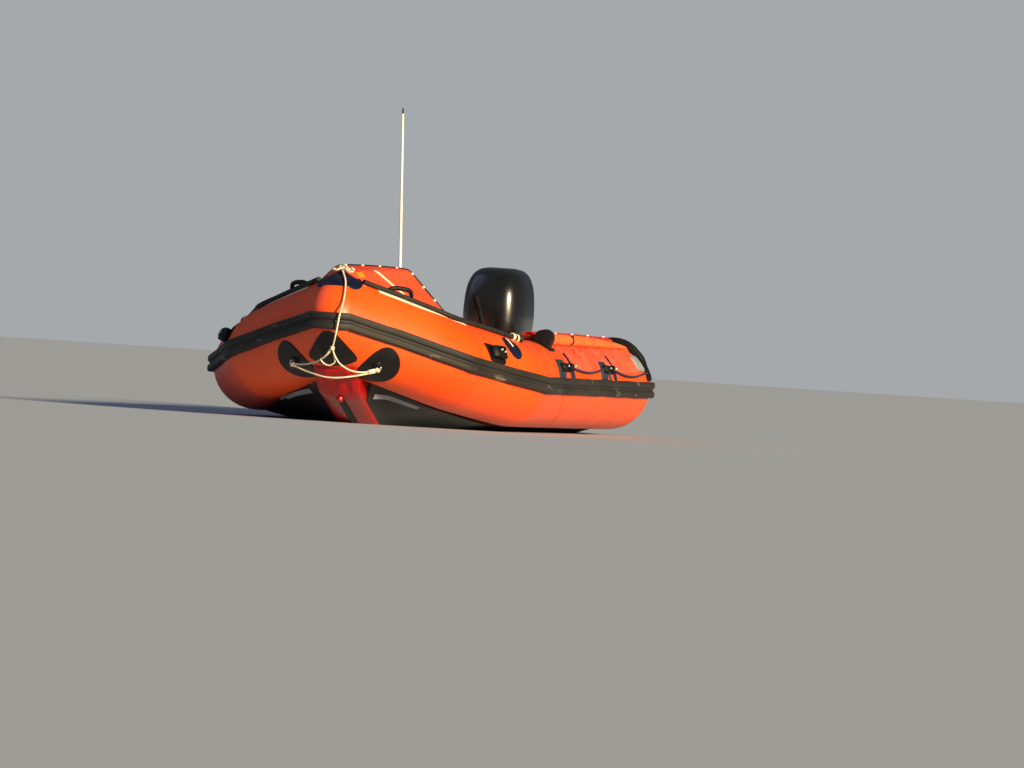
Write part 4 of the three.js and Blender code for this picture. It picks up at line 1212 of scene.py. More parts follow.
@dataclass
class AirTubes:
    """The inflated tubes: a nose and two sides, with taped seams where their lengths meet."""

    sides: int = 72
    nose_steps: int = 36
    swell: float = 0.003
    swell_run: float = 0.12
    pinch: float = 0.0015
    pinch_run: float = 0.035
    pucker: float = 0.0008
    pucker_run: float = 0.07
    mitre_run: float = 0.045
    tape_half: float = 0.012
    tape_thickness: float = 0.0014
    # The cone's rings by their share of it, and how its tip closes: scale and distance aft
    cone_shares: tuple[float, ...] = (0, 0.06, 0.14, 0.25, 0.33, 0.5, 0.67, 0.85, 1)
    tip: Outline = ((0.7, 0.0035), (0.4, 0.0055), (0.1, 0.006))
    # The glued seams on each side: the length, and share and angle from the top down
    seams: tuple[tuple[Length, Outline], ...] = (
        (Length.SHOULDER, ((0.14, 80), (0.13, 53), (0.127, 31), (0.115, 8), (0.1, -11), (0.096, -23),
                           (0.077, -33), (0.05, -70))),
        (Length.SIDE, ((0.115, 71), (0.046, 46), (0.035, 18), (0.034, 12))),
        (Length.SIDE, ((0.17, -12), (0.2, -31), (0.288, -66))),
    )
    skin: TubeSkin = field(init=False)

    def soft_out(self, run: float, span: float, angle: float) -> float:
        """Gives how far the inflated cloth stands off the plain tube.

        Args:
            run: The distance from the fore seam of its length.
            span: The distance between the seams.
            angle: Degrees above the strake.

        Returns:
            The distance, which sinks at the seams and puckers beside them.
        """
        near = min(run, span - run)
        wrinkle = math.cos(math.radians(angle) * 34 + 5 * lumps(run * 3, angle * 0.03, 0))
        swell = self.swell * (1 - math.exp(-near / self.swell_run))
        pucker = self.pucker * wrinkle * fade(near, self.pucker_run)
        return swell - self.pinch * fade(near, self.pinch_run) + pucker

    def ring(self, length: Length, share: float) -> list[Vector]:
        """Gives one ring of the port tube.

        Args:
            length: Which length of the tube.
            share: How far aft along it.

        Returns:
            The ring's points.
        """
        span = PLAN.span(length)
        ring = []
        for side in range(self.sides):
            angle = 360 * side / self.sides
            if length is Length.CONE:
                soft = -self.pinch * fade(share * 1.5, self.pinch_run)
            else:
                soft = self.soft_out(share * span, span, angle)
            ring.append(PLAN.point(length, share, angle, soft))
        return ring

    def mitre_rings(self, before: Length) -> list[list[Vector]]:
        """Gives the rings that bend softly over a mitre.

        Args:
            before: The length that ends at the mitre.

        Returns:
            The rings.
        """
        after = Length(before.value + 1)
        fore = self.ring(before, 1 - self.mitre_run / PLAN.span(before))
        corner = self.ring(after, 0)
        aft = self.ring(after, self.mitre_run / PLAN.span(after))
        return [[bend(*three, step / 6) for three in zip(fore, corner, aft)] for step in range(7)]

    def side_tube(self) -> Shape:
        """Makes the port tube from the nose to the tip of its cone.

        Returns:
            The closed mesh.
        """
        rings = []
        for length, steps in ((Length.FORE, 26), (Length.SHOULDER, 24), (Length.SIDE, 60)):
            share = self.mitre_run / PLAN.span(length)
            first = 0.0 if length is Length.FORE else share
            last = 1.0 if length is Length.SIDE else 1 - share
            if length is not Length.FORE:
                rings.extend(self.mitre_rings(Length(length.value - 1)))
            for step in range(0 if length is Length.FORE else 1, steps):
                rings.append(self.ring(length, first + (last - first) * step / steps))
        rings.extend(self.ring(Length.CONE, share) for share in self.cone_shares)
        tip = rings[-1]
        middle = sum(tip, Vector()) / len(tip)
        rings.extend([middle + (p - middle) * scale - AHEAD * aft for p in tip] for scale, aft in self.tip)
        return skin(rings)

    def nose(self) -> Shape:
        """Makes the rounded nose, from its bottom to its top.

        Returns:
            The closed mesh.
        """
        rings = []
        for step in range(1, self.nose_steps):
            angle = -90 + 180 * step / self.nose_steps
            row = [PLAN.nose_point(PLAN.nose_turn * (turn / 12 - 1), angle, 0.001) for turn in range(25)]
            rings.append([*row, Vector((PLAN.nose_x - 0.02, 0, row[0].z))])
        return skin(rings)

    def build(self) -> None:
        """Builds the tubes, their skin for the fittings, and their seam tapes."""
        nodes = ["fore_tube", "shoulder_tube", "side_tube"]
        sides = install_pair("air_tube", self.side_tube(), TUBE_ORANGE, nodes, 60)
        nose = install("air_tube_nose", self.nose(), TUBE_ORANGE, ["nose_tube"], 50)
        self.skin = TubeSkin([*sides, nose])
        for number, (length, seam) in enumerate(self.seams, 1):
            line = run_through([PLAN.point(length, *place) for place in seam], 0.02)
            tape = self.skin.band(line, self.tape_half, self.tape_thickness)
            install_pair(f"seam_tape_{number}", tape, SEAM_TAPE_ORANGE, ())


@dataclass
class RubbingStrake:
    """The extruded strake around the tubes, with its two ribs and the groove between them."""

    half_height: float = 0.0475
    step: float = 0.06
    wave: float = 0.0022
    end_x: float = -2.33
    # The lower half of its section: distance off the skin and share of the half height
    section: Outline = (
        (-0.016, 1.0), (0.016, 1.0), (0.0245, 0.95), (0.029, 0.84), (0.03, 0.7), (0.03, 0.36),
        (0.0275, 0.25), (0.0215, 0.17), (0.019, 0.1),
    )

    def places(self, length: Length, share: float) -> list[Vector]:
        """Gives the section at one place of the port tube.

        Args:
            length: Which length of the tube.
            share: How far aft along it.

        Returns:
            The points of the section.
        """
        base = PLAN.point(length, share, 0.0)
        out = (PLAN.point(length, share, 0.0, 0.01) - base) * 100
        drop = max(0.45, 1 - share * 1.6) if length is Length.CONE else 1.0
        lift = self.wave * (2 * lumps(*base * 3.1) + 0.5 * lumps(*base * 11))
        swell = 1 + 0.05 * lumps(*base * 5.3)
        half = [(reach * (swell if reach > 0.01 else 1), height) for reach, height in self.section]
        whole = [(reach, -height) for reach, height in half] + half[::-1]
        return [
            base + out * reach * (0.6 + 0.4 * drop) + UP * (height * self.half_height * drop + lift)
            for reach, height in whole
        ]

    def build(self) -> None:
        """Builds the strake in one piece, from one cone round the nose to the other."""
        rings = [self.places(Length.NOSE, step / 10) for step in range(10)]
        for length in (Length.FORE, Length.SHOULDER, Length.SIDE):
            steps = math.ceil(PLAN.span(length, 0) / self.step)
            rings.extend(self.places(length, step / steps) for step in range(steps))
        cone_end = (PLAN.cone.x - self.end_x) / (PLAN.cone.x - PLAN.cone_stations[1].x) / 3
        rings.extend(self.places(Length.CONE, cone_end * step / 6) for step in range(7))
        middle = sum(rings[-1], Vector()) / len(rings[-1])
        rings.append([middle + (p - middle) * 0.5 - AHEAD * 0.008 for p in rings[-1]])
        whole = skin([other_side(ring) for ring in reversed(rings[1:])] + rings)
        nodes = ["strake_bow", "strake_port", "strake_starboard"]
        install("rubbing_strake", whole, STRAKE_RUBBER, nodes, 28)


@dataclass
class Bottom:
    """The inflated keel with its wear strip, and the cloth bottom on each side of it."""

    # x, keel's lowest z, chine's y and z
    stations: Rows = (
        (-1.7747, -0.18, 0.65, 0.032), (0.3, -0.18, 0.65, 0.032), (0.9, -0.16, 0.65, 0.032),
        (1.16, -0.122, 0.63, 0.036), (1.44, -0.077, 0.5, 0.08), (1.681, 0.006, 0.411, 0.117),
        (1.935, 0.092, 0.15, 0.235),
    )
    ramp_start: float = 1.16
    ramp_end: Pair = (1.935, 0.314)
    # x, keel's lowest z, top and half width
    tip: Rows = (
        (2.09, 0.146, 0.34, 0.122), (2.2, 0.238, 0.345, 0.124), (2.238, 0.276, 0.352, 0.122),
        (2.252, 0.3, 0.356, 0.112),
    )
    # Where the creases of the tip start, the run to their full depth, and that depth
    crease: Triple = (1.95, 0.3, 0.01)
    strip_half: float = 0.014
    strip_end_x: float = 2.082
    # Halves of the strip's and the bead's sections: share of the strip's half width and height
    strip: Outline = ((1.0, -0.003), (1.0, 0.002), (0.7, 0.006), (0.0, 0.0065))
    bead: Outline = ((0.28, 0.004), (0.22, 0.0085), (0.0, 0.0095))
    bilge_half: float = 0.017
    bilge_port: Route = (
        (1.893, 0.159, 0.152), (1.827, 0.231, 0.14), (1.748, 0.301, 0.124), (1.677, 0.363, 0.11),
    )
    bilge_starboard: Route = ((1.845, -0.228, 0.157), (1.736, -0.352, 0.1345), (1.62, -0.45, 0.112))

    def under_deck(self, x: float) -> float:
        """Gives the height of the deck's underside."""
        slope = (self.ramp_end[1] - DECK_Z) / (self.ramp_end[0] - self.ramp_start)
        return DECK_Z + max(0.0, x - self.ramp_start) * slope

    def keel_rows(self) -> list[Vector]:
        """Gives the keel's sections: x, lowest z, top and half width."""
        rows = [(x, keel, self.under_deck(x), KEEL_HALF_WIDTH) for x, keel, _, _ in self.stations]
        return eased_rows([*rows, *self.tip], 7)

    def keel_point(self, row: Vector, share: float, out: float = 0.0) -> Vector:
        """Gives a point of the keel's belly.

        Args:
            row: The keel's section.
            share: How far across it, from the starboard flank at 0 to the port flank at 1.
            out: Distance off the cloth.

        Returns:
            The point.
        """
        x, keel, _, half = row
        across, depth = polar(180 * (1 - share))
        puff = 0.002 * math.sin(x * 9)
        return Vector((x, (half + out) * across, keel + KEEL_BELLY - (KEEL_BELLY + out + puff) * depth))

    def keel(self) -> Shape:
        """Makes the keel, from the transom to its creased tip under the nose.

        Returns:
            The closed mesh.
        """
        rings = []
        start, run, deep = self.crease
        for row in self.keel_rows():
            creased = max(0.0, (row[0] - start) / run)
            belly = []
            for step in range(33):
                place = self.keel_point(row, step / 32)
                fold = lumps(place.y * 26 + place.x * 9, place.x * 20 - place.y * 12, 2.3)
                belly.append(place + Vector((0.5, 0, -0.8)) * deep * creased * fold)
            rings.append([*belly, *(Vector((row[0], y, row[2] - GAP)) for y in (row[3], -row[3]))])
        return skin(rings)

    def along_keel(self, half: Outline) -> Shape:
        """Makes a strip along the keel's middle.

        Args:
            half: Half of its section, from its edge to the middle line.

        Returns:
            The closed mesh.
        """
        section = [(-share, out) for share, out in half] + list(half[-2::-1])
        rings = []
        for row in self.keel_rows():
            if row[0] < self.strip_end_x:
                width = self.strip_half / row[3] / 2
                rings.append([self.keel_point(row, 0.5 + width * share, out) for share, out in section])
        return skin(rings)

    def knob(self) -> Shape:
        """Makes the knob at the top of the wear strip.

        Returns:
            The closed mesh.
        """
        row = [row for row in self.keel_rows() if row[0] < self.strip_end_x][-1]
        top = self.keel_point(row, 0.5)
        way = Vector((0.45, 0, -0.9)).normalized()
        return rod(top - way * 0.01, top + way * 0.02, 0.022, 0.015, 24)

    def cloth(self) -> Shape:
        """Makes the port side of the bottom, stretched from the keel to the tube.

        Returns:
            The closed mesh.
        """
        rows = [(x, keel + KEEL_BELLY, chine_y, chine_z) for x, keel, chine_y, chine_z in self.stations]
        rings = []
        inner = KEEL_HALF_WIDTH + GAP
        for x, keel, chine_y, chine_z in eased_rows(rows, 8):
            top = self.under_deck(x) - GAP
            chine = Vector((x, max(chine_y, inner + 0.012), min(chine_z, top - 0.004)))
            foot = Vector((x, inner, keel))
            line = []
            for step in range(17):
                share = step / 16
                sag = math.sin(math.pi * share)
                fold = 0.004 * sag * lumps(x * 2.2, share * 4, 1.7)
                line.append(foot.lerp(chine, share) + UP * (0.01 * sag + fold))
            rings.append([*line, Vector((x, chine.y - 0.01, top)), Vector((x, inner, top))])
        return skin(rings)

    def build(self) -> None:
        """Builds the bottom, with the pale strips on its cloth."""
        install("keel", self.keel(), KEEL_RED, ["keel_tube"])
        strip = self.along_keel(self.strip)
        install("keel_wear_strip", strip, MOULDED_RUBBER, ["keel_strip"])
        install("keel_wear_bead", self.along_keel(self.bead), STRAKE_RUBBER)
        install("keel_knob", self.knob(), KEEL_RED)
        cloths = install_pair("bottom_cloth", self.cloth(), BOTTOM_BLACK, ["bottom"])
        bottom = TubeSkin(cloths)
        for side, route in ((Side.PORT, self.bilge_port), (Side.STARBOARD, self.bilge_starboard)):
            strip = bottom.band(run_through(route, 0.02), self.bilge_half, 0.003)
            install(side_name("bilge_strip", side), strip, STRIP_GREY)


@dataclass
class Deck:
    """The deck boards, with their joining strips, fixings, mats and lashing eyes."""

    # x and half width
    joints: Outline = ((-0.75, 0.55), (0.275, 0.55), (1.16, 0.47))
    strip_half: float = 0.022
    strip_proud: float = 0.004
    eyes: Outline = ((-1.25, 0.42), (-0.25, 0.44), (0.65, 0.44))
    eye_radius: float = 0.018
    # x and length
    mats: Outline = ((-1.26, 0.86), (-0.24, 0.86), (0.72, 0.72))
    mat_half: float = 0.36

    def build(self) -> None:
        """Dresses the boards and adds what joins, fixes and covers them."""
        for panel in range(1, 5):
            dress_node(f"deck_panel_{panel}", DECK_GRIT, 0.002)
        for number, place in enumerate(self.joints, 1):
            install(f"deck_joint_{number}", self.joint(*place), ALUMINIUM)
        for number, place in enumerate(self.eyes, 1):
            install_pair(f"deck_eye_{number}", self.eye(*place), STAINLESS)
        for number, (x, length) in enumerate(self.mats, 1):
            low = (x - length / 2, -self.mat_half, DECK_TOP - 0.001)
            mat = slab(low, (x + length / 2, self.mat_half, DECK_TOP + 0.003), 0.0015)
            install(f"deck_mat_{number}", mat, MOULDED_RUBBER)

    def joint(self, x: float, half: float) -> Shape:
        """Makes a joining strip with its two rows of screws.

        Args:
            x: The place of the joint.
            half: Half its length.

        Returns:
            The joined mesh.
        """
        top = DECK_TOP + self.strip_proud
        low = (x - self.strip_half, -half, DECK_TOP - 0.003)
        shapes = [slab(low, (x + self.strip_half, half, top), 0.002)]
        for step in range(9):
            y = half * (step / 4 - 1) * 0.95
            for side in (-0.6, 0.6):
                at = Vector((x + side * self.strip_half, y, top))
                shapes.append(rod(at - UP * 0.002, at + UP * 0.0015, 0.005, 0.0035, 10))
        return joined(*shapes)

    def eye(self, x: float, y: float) -> Shape:
        """Makes a lashing eye: a ring on a plate.

        Args:
            x: The plate's place along the boat.
            y: Its place to port.

        Returns:
            The joined mesh.
        """
        base = slab((x - 0.03, y - 0.018, DECK_TOP - 0.001), (x + 0.03, y + 0.018, DECK_TOP + 0.003), 0.001)
        ring = wheel(Vector((x, y, DECK_TOP + self.eye_radius)), ABEAM, UP, self.eye_radius, 20)
        return joined(base, hose([*ring, ring[0]], 0.003, 8))


@dataclass
class Transom:
    """The transom board with its pads, knees, trim, bolts and drain socks."""

    back: float = TRANSOM_X - 0.045
    top: float = 0.5
    cut: float = 0.36
    trim_foot: float = -0.014
    # Half of the board's outline from the keel up, as y and z, and the place that its layers shrink to
    half: Outline = (
        (0.0, -0.184), (0.09, -0.172), (0.125, -0.146), (0.64, 0.03), (0.6, 0.48), (0.58, 0.5),
        (0.262, 0.5), (0.246, 0.488), (0.215, 0.36),
    )
    middle: Pair = (0.0, 0.15)
    # A knee's outline, from its corner at the board: x forward of it and z
    knee_floor: float = DECK_TOP + 0.001
    knee_top: Outline = ((0.229, 0.1), (0.02, 0.289), (0.0, 0.289))
    # The sock's rings: share of its length, radius and depth of its folds
    sock_y: float = 0.3
    sock_rings: Route = (
        (0, 0.062, 0), (0.05, 0.06, 0), (0.08, 0.056, 0), (0.35, 0.054, 0.03), (0.6, 0.051, 0.07),
        (0.85, 0.048, 0.12), (1.0, 0.046, 0.16), (1.0, 0.04, 0.16), (0.7, 0.04, 0.05), (0.2, 0.045, 0.0),
    )

    def board(self) -> Shape:
        """Makes the board with its two engine pads and its knees.

        Returns:
            The joined mesh.
        """
        back = self.back
        outline = [*self.half, *((-y, z) for y, z in self.half[:0:-1])]
        layers = ((back, 0.99), (back + 0.004, 1.0), (TRANSOM_X - 0.004, 1.0), (TRANSOM_X, 0.99))
        shapes = [
            plate(outline, View.END, layers, self.middle),
            slab((TRANSOM_X - 0.001, -0.15, 0.11), (TRANSOM_X + 0.014, 0.15, self.cut - 0.001), 0.004),
            slab((back - 0.01, -0.17, 0.04), (back + 0.001, 0.17, self.cut - 0.001), 0.004),
        ]
        knee = [(0.0, self.knee_floor), (0.229, self.knee_floor), *self.knee_top]
        for low, high in ((-0.42, -0.395), (0.395, 0.42)):
            shapes.append(plate([(TRANSOM_X + x, z) for x, z in knee], View.SIDE, ((low, 1), (high, 1))))
        return joined(*shapes)

    def fixings(self) -> Shape:
        """Makes the bolts through the pads and the knees.

        Returns:
            The joined mesh.
        """
        shapes = []
        for y in (-0.154, -0.077, 0.077, 0.154):
            for z in (0.08, 0.33):
                shapes.append(bolt(Vector((self.back - 0.01, y, z)), -AHEAD))
        for y in (-0.56, -0.42, 0.42, 0.56):
            for z in (0.12, 0.44):
                shapes.append(bolt(Vector((TRANSOM_X, y, z)), AHEAD, 0.007))
                shapes.append(bolt(Vector((self.back, y, z)), -AHEAD, 0.007))
        return joined(*shapes)

    def trim(self) -> Shape:
        """Makes the rubber trim over the edges of the engine's cut.

        Returns:
            The joined mesh.
        """
        aft, fore = self.back - 0.004, TRANSOM_X + 0.004
        section = [(aft, self.trim_foot), (aft, 0.004), (self.back + 0.001, 0.0075)]
        section += [(TRANSOM_X - 0.001, 0.0075), (fore, 0.004), (fore, self.trim_foot)]
        line = [(0.565, self.top), (0.265, self.top), (0.247, self.top - 0.012), (0.217, self.cut + 0.004)]
        return joined(*(
            skin([[Vector((x, side.value * y, z + lift)) for x, lift in section] for y, z in line])
            for side in (Side.STARBOARD, Side.PORT)
        ))

    def sock(self) -> Shape:
        """Makes a cloth drain sock, folded in at its end.

        Returns:
            The closed mesh.
        """
        start = Vector((self.back - 0.001, self.sock_y, 0.11))
        end = Vector((self.back - 0.15, self.sock_y, 0.06))
        upright = (end - start).normalized().cross(ABEAM)
        rings = []
        for share, radius, folds in self.sock_rings:
            ring = []
            for step, (c, s) in enumerate(circle(36)):
                reach = radius * (1 + folds * math.cos(math.pi * step / 3 + share * 2))
                ring.append(start.lerp(end, share) + (ABEAM * c + upright * s) * reach)
            rings.append(ring)
        return skin(rings)

    def build(self) -> None:
        """Builds the transom."""
        install("transom_board", self.board(), TRANSOM_PAINT, ["transom"], 30)
        install("transom_bolts", self.fixings(), STAINLESS)
        install("transom_trim", self.trim(), MOULDED_RUBBER)
        install_pair("drain_sock", self.sock(), BOTTOM_BLACK)


@dataclass
class Dodger:
    """The cloth cover over the bow, stretched from the nose to the cockpit."""

    tubes: TubeSkin
    # x, the top corner's y and z, the foot's y and z
    sections: Rows = (
        (2.188, 0.062, 0.852, 0.105, 0.788), (1.95, 0.105, 0.862, 0.235, 0.73),
        (1.7, 0.155, 0.872, 0.38, 0.66), (1.45, 0.205, 0.882, 0.5, 0.61),
    )
    rounding: float = 0.026
    crown: float = 0.006
    wrinkle: float = 0.0045
    sink: float = 0.006
    thickness: float = 0.0022
    flat: Pair = (1.28, 0.8)
    flat_area: float = 0.6
    # How the cloth comes down to the nose: distance forward and share of the way down
    drops: Outline = ((0.052, 1.0), (0.03, 1.0), (0.02, 0.72), (0.01, 0.35))
    seams: tuple[Route, ...] = (
        ((2.08, 0.092, 0.845), (2.058, 0.106, 0.836), (2.015, 0.144, 0.802), (1.99, 0.184, 0.769)),
        ((1.6, 0.215, 0.83), (1.579, 0.259, 0.801), (1.57, 0.306, 0.759), (1.596, 0.386, 0.679)),
        ((1.64, 0.0, 0.882), (1.64, 0.1, 0.88), (1.636, 0.15, 0.876)),
    )
    tape: Route = ((1.895, 0.107, 0.864), (1.859, 0.165, 0.824), (1.818, 0.222, 0.778), (1.772, 0.283, 0.732))
    patch: Route = ((2.176, 0.082, 0.832), (2.14, 0.088, 0.835), (2.092, 0.096, 0.838))

    def line(self, row: Vector) -> list[Vector]:
        """Gives a section's line, between its flanges on the tubes.

        Args:
            row: The section.

        Returns:
            The points, from starboard to port.
        """
        x, top_y, top_z, foot_y, foot_z = row
        landing, normal = self.tubes.below(Vector((x, foot_y, foot_z + 0.2)))
        flange = self.tubes.nearest(landing + ABEAM * 0.03)
        corner = Vector((x, top_y, top_z))
        foot = landing if landing.z < foot_z else Vector((x, foot_y, foot_z))
        half = [
            Vector((x, top_y * share, top_z + self.crown * (1 - share**2)))
            for share in (0, 0.14, 0.28, 0.42, 0.56, 0.7, 0.82)
        ]
        start = corner - ABEAM * self.rounding
        end = corner + (foot - corner).normalized() * self.rounding
        half += [bend(start, corner, end, step / 5) for step in range(6)]
        half += [end.lerp(foot, step / 12) for step in range(1, 13)]
        if landing.z < foot.z:
            half += [foot.lerp(landing, step / 4) for step in range(1, 4)]
        else:
            half += [foot.lerp(flange[0], step / 12) for step in range(1, 4)]
        half += [place + out * 0.003 for place, out in ((landing, normal), flange)]
        return other_side(half[:0:-1]) + half

    def creased(self, line: Places) -> list[Vector]:
        """Creases a section's line as the cloth hangs from its corners.

        Args:
            line: The plain line.

        Returns:
            The creased one.
        """
        soft = []
        fore, aft = self.sections[0][0], self.sections[-1][0]
        for index, place in enumerate(line):
            away = abs(index / (len(line) - 1) * 2 - 1)
            ease = min(1.0, (1 - away) * 6)
            share = (fore - place.x) / (fore - aft)
            crease = lumps(place.x * 9 + place.y * 5, place.y * 4 - place.x * 3, place.z * 7)
            lift = self.wrinkle * ease * (crease + 0.25 * lumps(*place * 24))
            lift -= self.sink * ease * math.sin(math.pi * share) * away
            soft.append(place + Vector((0, 0.5 * lift * (1 if place.y > 0 else -1), lift)))
        return soft

    def front(self, first: Places) -> list[list[Vector]]:
        """Gives the lines that bring the front of the cloth down to the nose.

        Args:
            first: The line of the foremost section.

        Returns:
            The lines, the lowest first.
        """
        lines = []
        for run, share in self.drops:
            line = []
            for place in first:
                ahead = Vector((place.x + run, place.y * (1 + run * 3), place.z))
                landing, normal = self.tubes.below(ahead + UP * 0.2)
                line.append(ahead.lerp(landing + normal * 0.003, share))
            lines.append(line)
        return lines

    def build(self) -> None:
        """Builds the dodger with its seams and its hem."""
        lines = [self.creased(self.line(row)) for row in eased_rows(self.sections, 18)]
        bm = skin([*self.front(lines[0]), *lines], caps=False, closed=False)
        if sum(f.normal.z for f in bm.faces) < 0:
            bmesh.ops.reverse_faces(bm, faces=bm.faces)
        cover = install("dodger_cloth", bm, DODGER_CANVAS, ["dodger"], 60)
        cloth = TubeSkin([cover])
        solid = cover.modifiers.new("thickness", "SOLIDIFY")
        solid.thickness = self.thickness
        solid.offset = -1
        self.dress(cloth)

    def dress(self, cloth: TubeSkin) -> None:
        """Adds the seams, the aft hem with its lacing, and the beads on it.

        Args:
            cloth: The skin of the dodger.
        """
        for number, route in enumerate(self.seams, 1):
            seam = cloth.band(run_through(route, 0.012), 0.006, 0.0018)
            install_pair(f"dodger_seam_{number}", seam, SEAM_TAPE_ORANGE)
        install_pair("dodger_tape", cloth.band(run_through(self.tape, 0.012), 0.01, 0.0024), STRIP_CREAM)
        install("dodger_patch", cloth.band(run_through(self.patch, 0.01), 0.02, 0.0024), PATCH_AMBER)
        edge = evenly(self.line(Vector(self.sections[-1]))[2:-2], 0.02)
        install("dodger_hem", hose(edge, 0.0065, 10), ROPE_BLACK)
        beads = [rod(at - AHEAD * 0.004, at + AHEAD * 0.01, 0.008, sides=12) for at in edge[4:-4:5]]
        install("dodger_beads", joined(*beads), TOGGLE_WHITE)


@dataclass
class TubeTrim:
    """What is glued along the forward tubes: edging, strips, handles, eyes and patches."""

    tubes: TubeSkin
    edging_radius: float = 0.015
    edging_out: float = 0.017
    edging: tuple[Spot, ...] = (
        (Length.FORE, 0.135, 61), (Length.FORE, 0.25, 62), (Length.FORE, 0.48, 65), (Length.FORE, 0.8, 68),
        (Length.SHOULDER, 0.0, 69), (Length.SHOULDER, 0.3, 70), (Length.SHOULDER, 0.6, 71),
        (Length.SHOULDER, 0.85, 71), (Length.SHOULDER, 0.95, 71),
    )
    lashings: Outline = ((0.84, 0.87), (0.9, 0.94))
    handle_angle: float = 74
    handle_feet: Pair = (0.405, 0.595)
    # Half of the handle's arch: along the tube and out of it
    arch: Outline = ((-0.076, -0.012), (-0.075, 0.012), (-0.062, 0.036), (-0.034, 0.045), (0.0, 0.0465))
    fitting: Spot = (Length.SHOULDER, 0.345, 23)
    fitting_patch: Outline = ((-0.108, 0.05), (-0.064, -0.052), (0.084, -0.052), (0.106, 0.05))
    # Along the tube and out of it
    fitting_block: Outline = (
        (-0.066, -0.01), (-0.06, 0.034), (-0.04, 0.05), (0.04, 0.05), (0.06, 0.034), (0.066, -0.01),
    )
    fitting_layers: Outline = (
        (-0.033, 0.93), (-0.03135, 0.98), (-0.02838, 1.0), (0.02838, 1.0), (0.03135, 0.98), (0.033, 0.93),
    )
    rim_corners: Outline = ((-0.034, 0.02), (-0.034, -0.02), (0.034, -0.02), (0.034, 0.02))
    rim_steps: Outline = ((1, 0.046), (1, 0.054), (0.94, 0.056), (0.8, 0.056), (0.74, 0.052), (0.7, 0.0505))
    # Places of the white pegs on the eye, which are painted highlights on its black rubber
    studs: Outline = ((-0.006, 0.006), (0.022, -0.004))
    navy: Spot = (Length.SHOULDER, 0.655, 43)
    navy_halves: Pair = (0.074, 0.08)
    tape_half: float = 0.036
    tape_steps: Outline = ((1, 0.002), (1, 0.0055), (0.9, 0.006), (0.5, 0.006), (0.1, 0.006))
    pale_strip: Route = (
        (2.154, 0.196, 0.744), (2.06, 0.29, 0.708), (1.953, 0.397, 0.668), (1.82, 0.5, 0.63),
        (1.69, 0.602, 0.59),
    )

    def handle(self) -> Shape:
        """Makes the arched grab handle on its two feet.

        Returns:
            The joined mesh.
        """
        seat = PLAN.frame_at(Length.FORE, sum(self.handle_feet) / 2, self.handle_angle)
        arch = [*self.arch, *((-x, z) for x, z in self.arch[-2::-1])]
        line = run_through([seat @ Vector((x, 0, z)) for x, z in arch], 0.006, 8)
        shapes = [hose(line, lambda share: 0.0115 + 0.002 * math.sin(math.pi * share), 18)]
        for share in self.handle_feet:
            foot = moulding(oval(0.046, 0.042, 3), dome_steps(0.008, edge=0.7))
            shapes.append(self.tubes.drape(foot, PLAN.frame_at(Length.FORE, share, self.handle_angle)))
        return joined(*shapes)

    def eye(self) -> Shape:
        """Makes the moulded eye on its four-cornered patch.

        Returns:
            The joined mesh.
        """
        seat = PLAN.frame_at(*self.fitting)
        block = plate(rounded(self.fitting_block, 0.006, 3), View.SIDE, self.fitting_layers)
        rim = moulding(rounded(self.rim_corners, 0.008), self.rim_steps)
        patch = self.tubes.patch(rounded(self.fitting_patch, 0.012), seat)
        return joined(patch, moved(block, seat), moved(rim, seat))

    def lashing(self) -> Shape:
        """Makes the turns of line that lash the aft end of the edging.

        Returns:
            The joined mesh.
        """
        shapes = []
        length, _, angle = self.edging[-1]
        for shares in self.lashings:
            ends = [PLAN.point(length, share, angle, self.edging_out) for share in shares]
            shapes.append(whipping(*ends, self.edging_radius + 0.003, 0.0035, 3))
        return joined(*shapes)

    def build(self) -> None:
        """Builds the trim on both sides."""
        line = run_through([PLAN.point(*spot, self.edging_out) for spot in self.edging], 0.012)
        rope = hose(line, self.edging_radius, 14, 4, 0.09)
        install_pair("edging_rope", rope, ROPE_BLACK, ["edging"], 60)
        strip = self.tubes.band(run_through(self.pale_strip, 0.02), 0.016, 0.0025)
        install_pair("edging_strip", strip, STRIP_CREAM)
        install_pair("grab_handle", self.handle(), MOULDED_RUBBER, ["top_handle"])
        install_pair("moulded_eye", self.eye(), MOULDED_RUBBER, ["square_fitting"])
        # White pegs on the moulded eye: painted highlights, the glints on its black rubber drawn as white
        # solids
        painted_highlight_pegs = studs(PLAN.frame_at(*self.fitting), self.studs, 0.049, 0.06)
        install_pair("moulded_eye_painted_highlights", painted_highlight_pegs, TOGGLE_WHITE)
        install_pair("edging_lashing", self.lashing(), ROPE_CREAM)
        tail = PLAN.point(Length.SHOULDER, 0.955, self.edging[-1][2], 0.02)
        install_pair("edging_knot", knot(tail, 0.011, Vector((1, -0.3, 0.2)), 2.3), ROPE_BLACK)
        seat = PLAN.frame_at(*self.navy)
        install_pair("navy_oval", self.tubes.patch(oval(*self.navy_halves), seat, 0.004), PATCH_NAVY)
        tape = moulding(oval(0.008, self.tape_half, 6), self.tape_steps)
        tape = self.tubes.drape(moved(tape, Matrix.Translation(ABEAM * self.tape_half)), seat)
        install_pair("navy_oval_tape", tape, STRIP_CREAM)


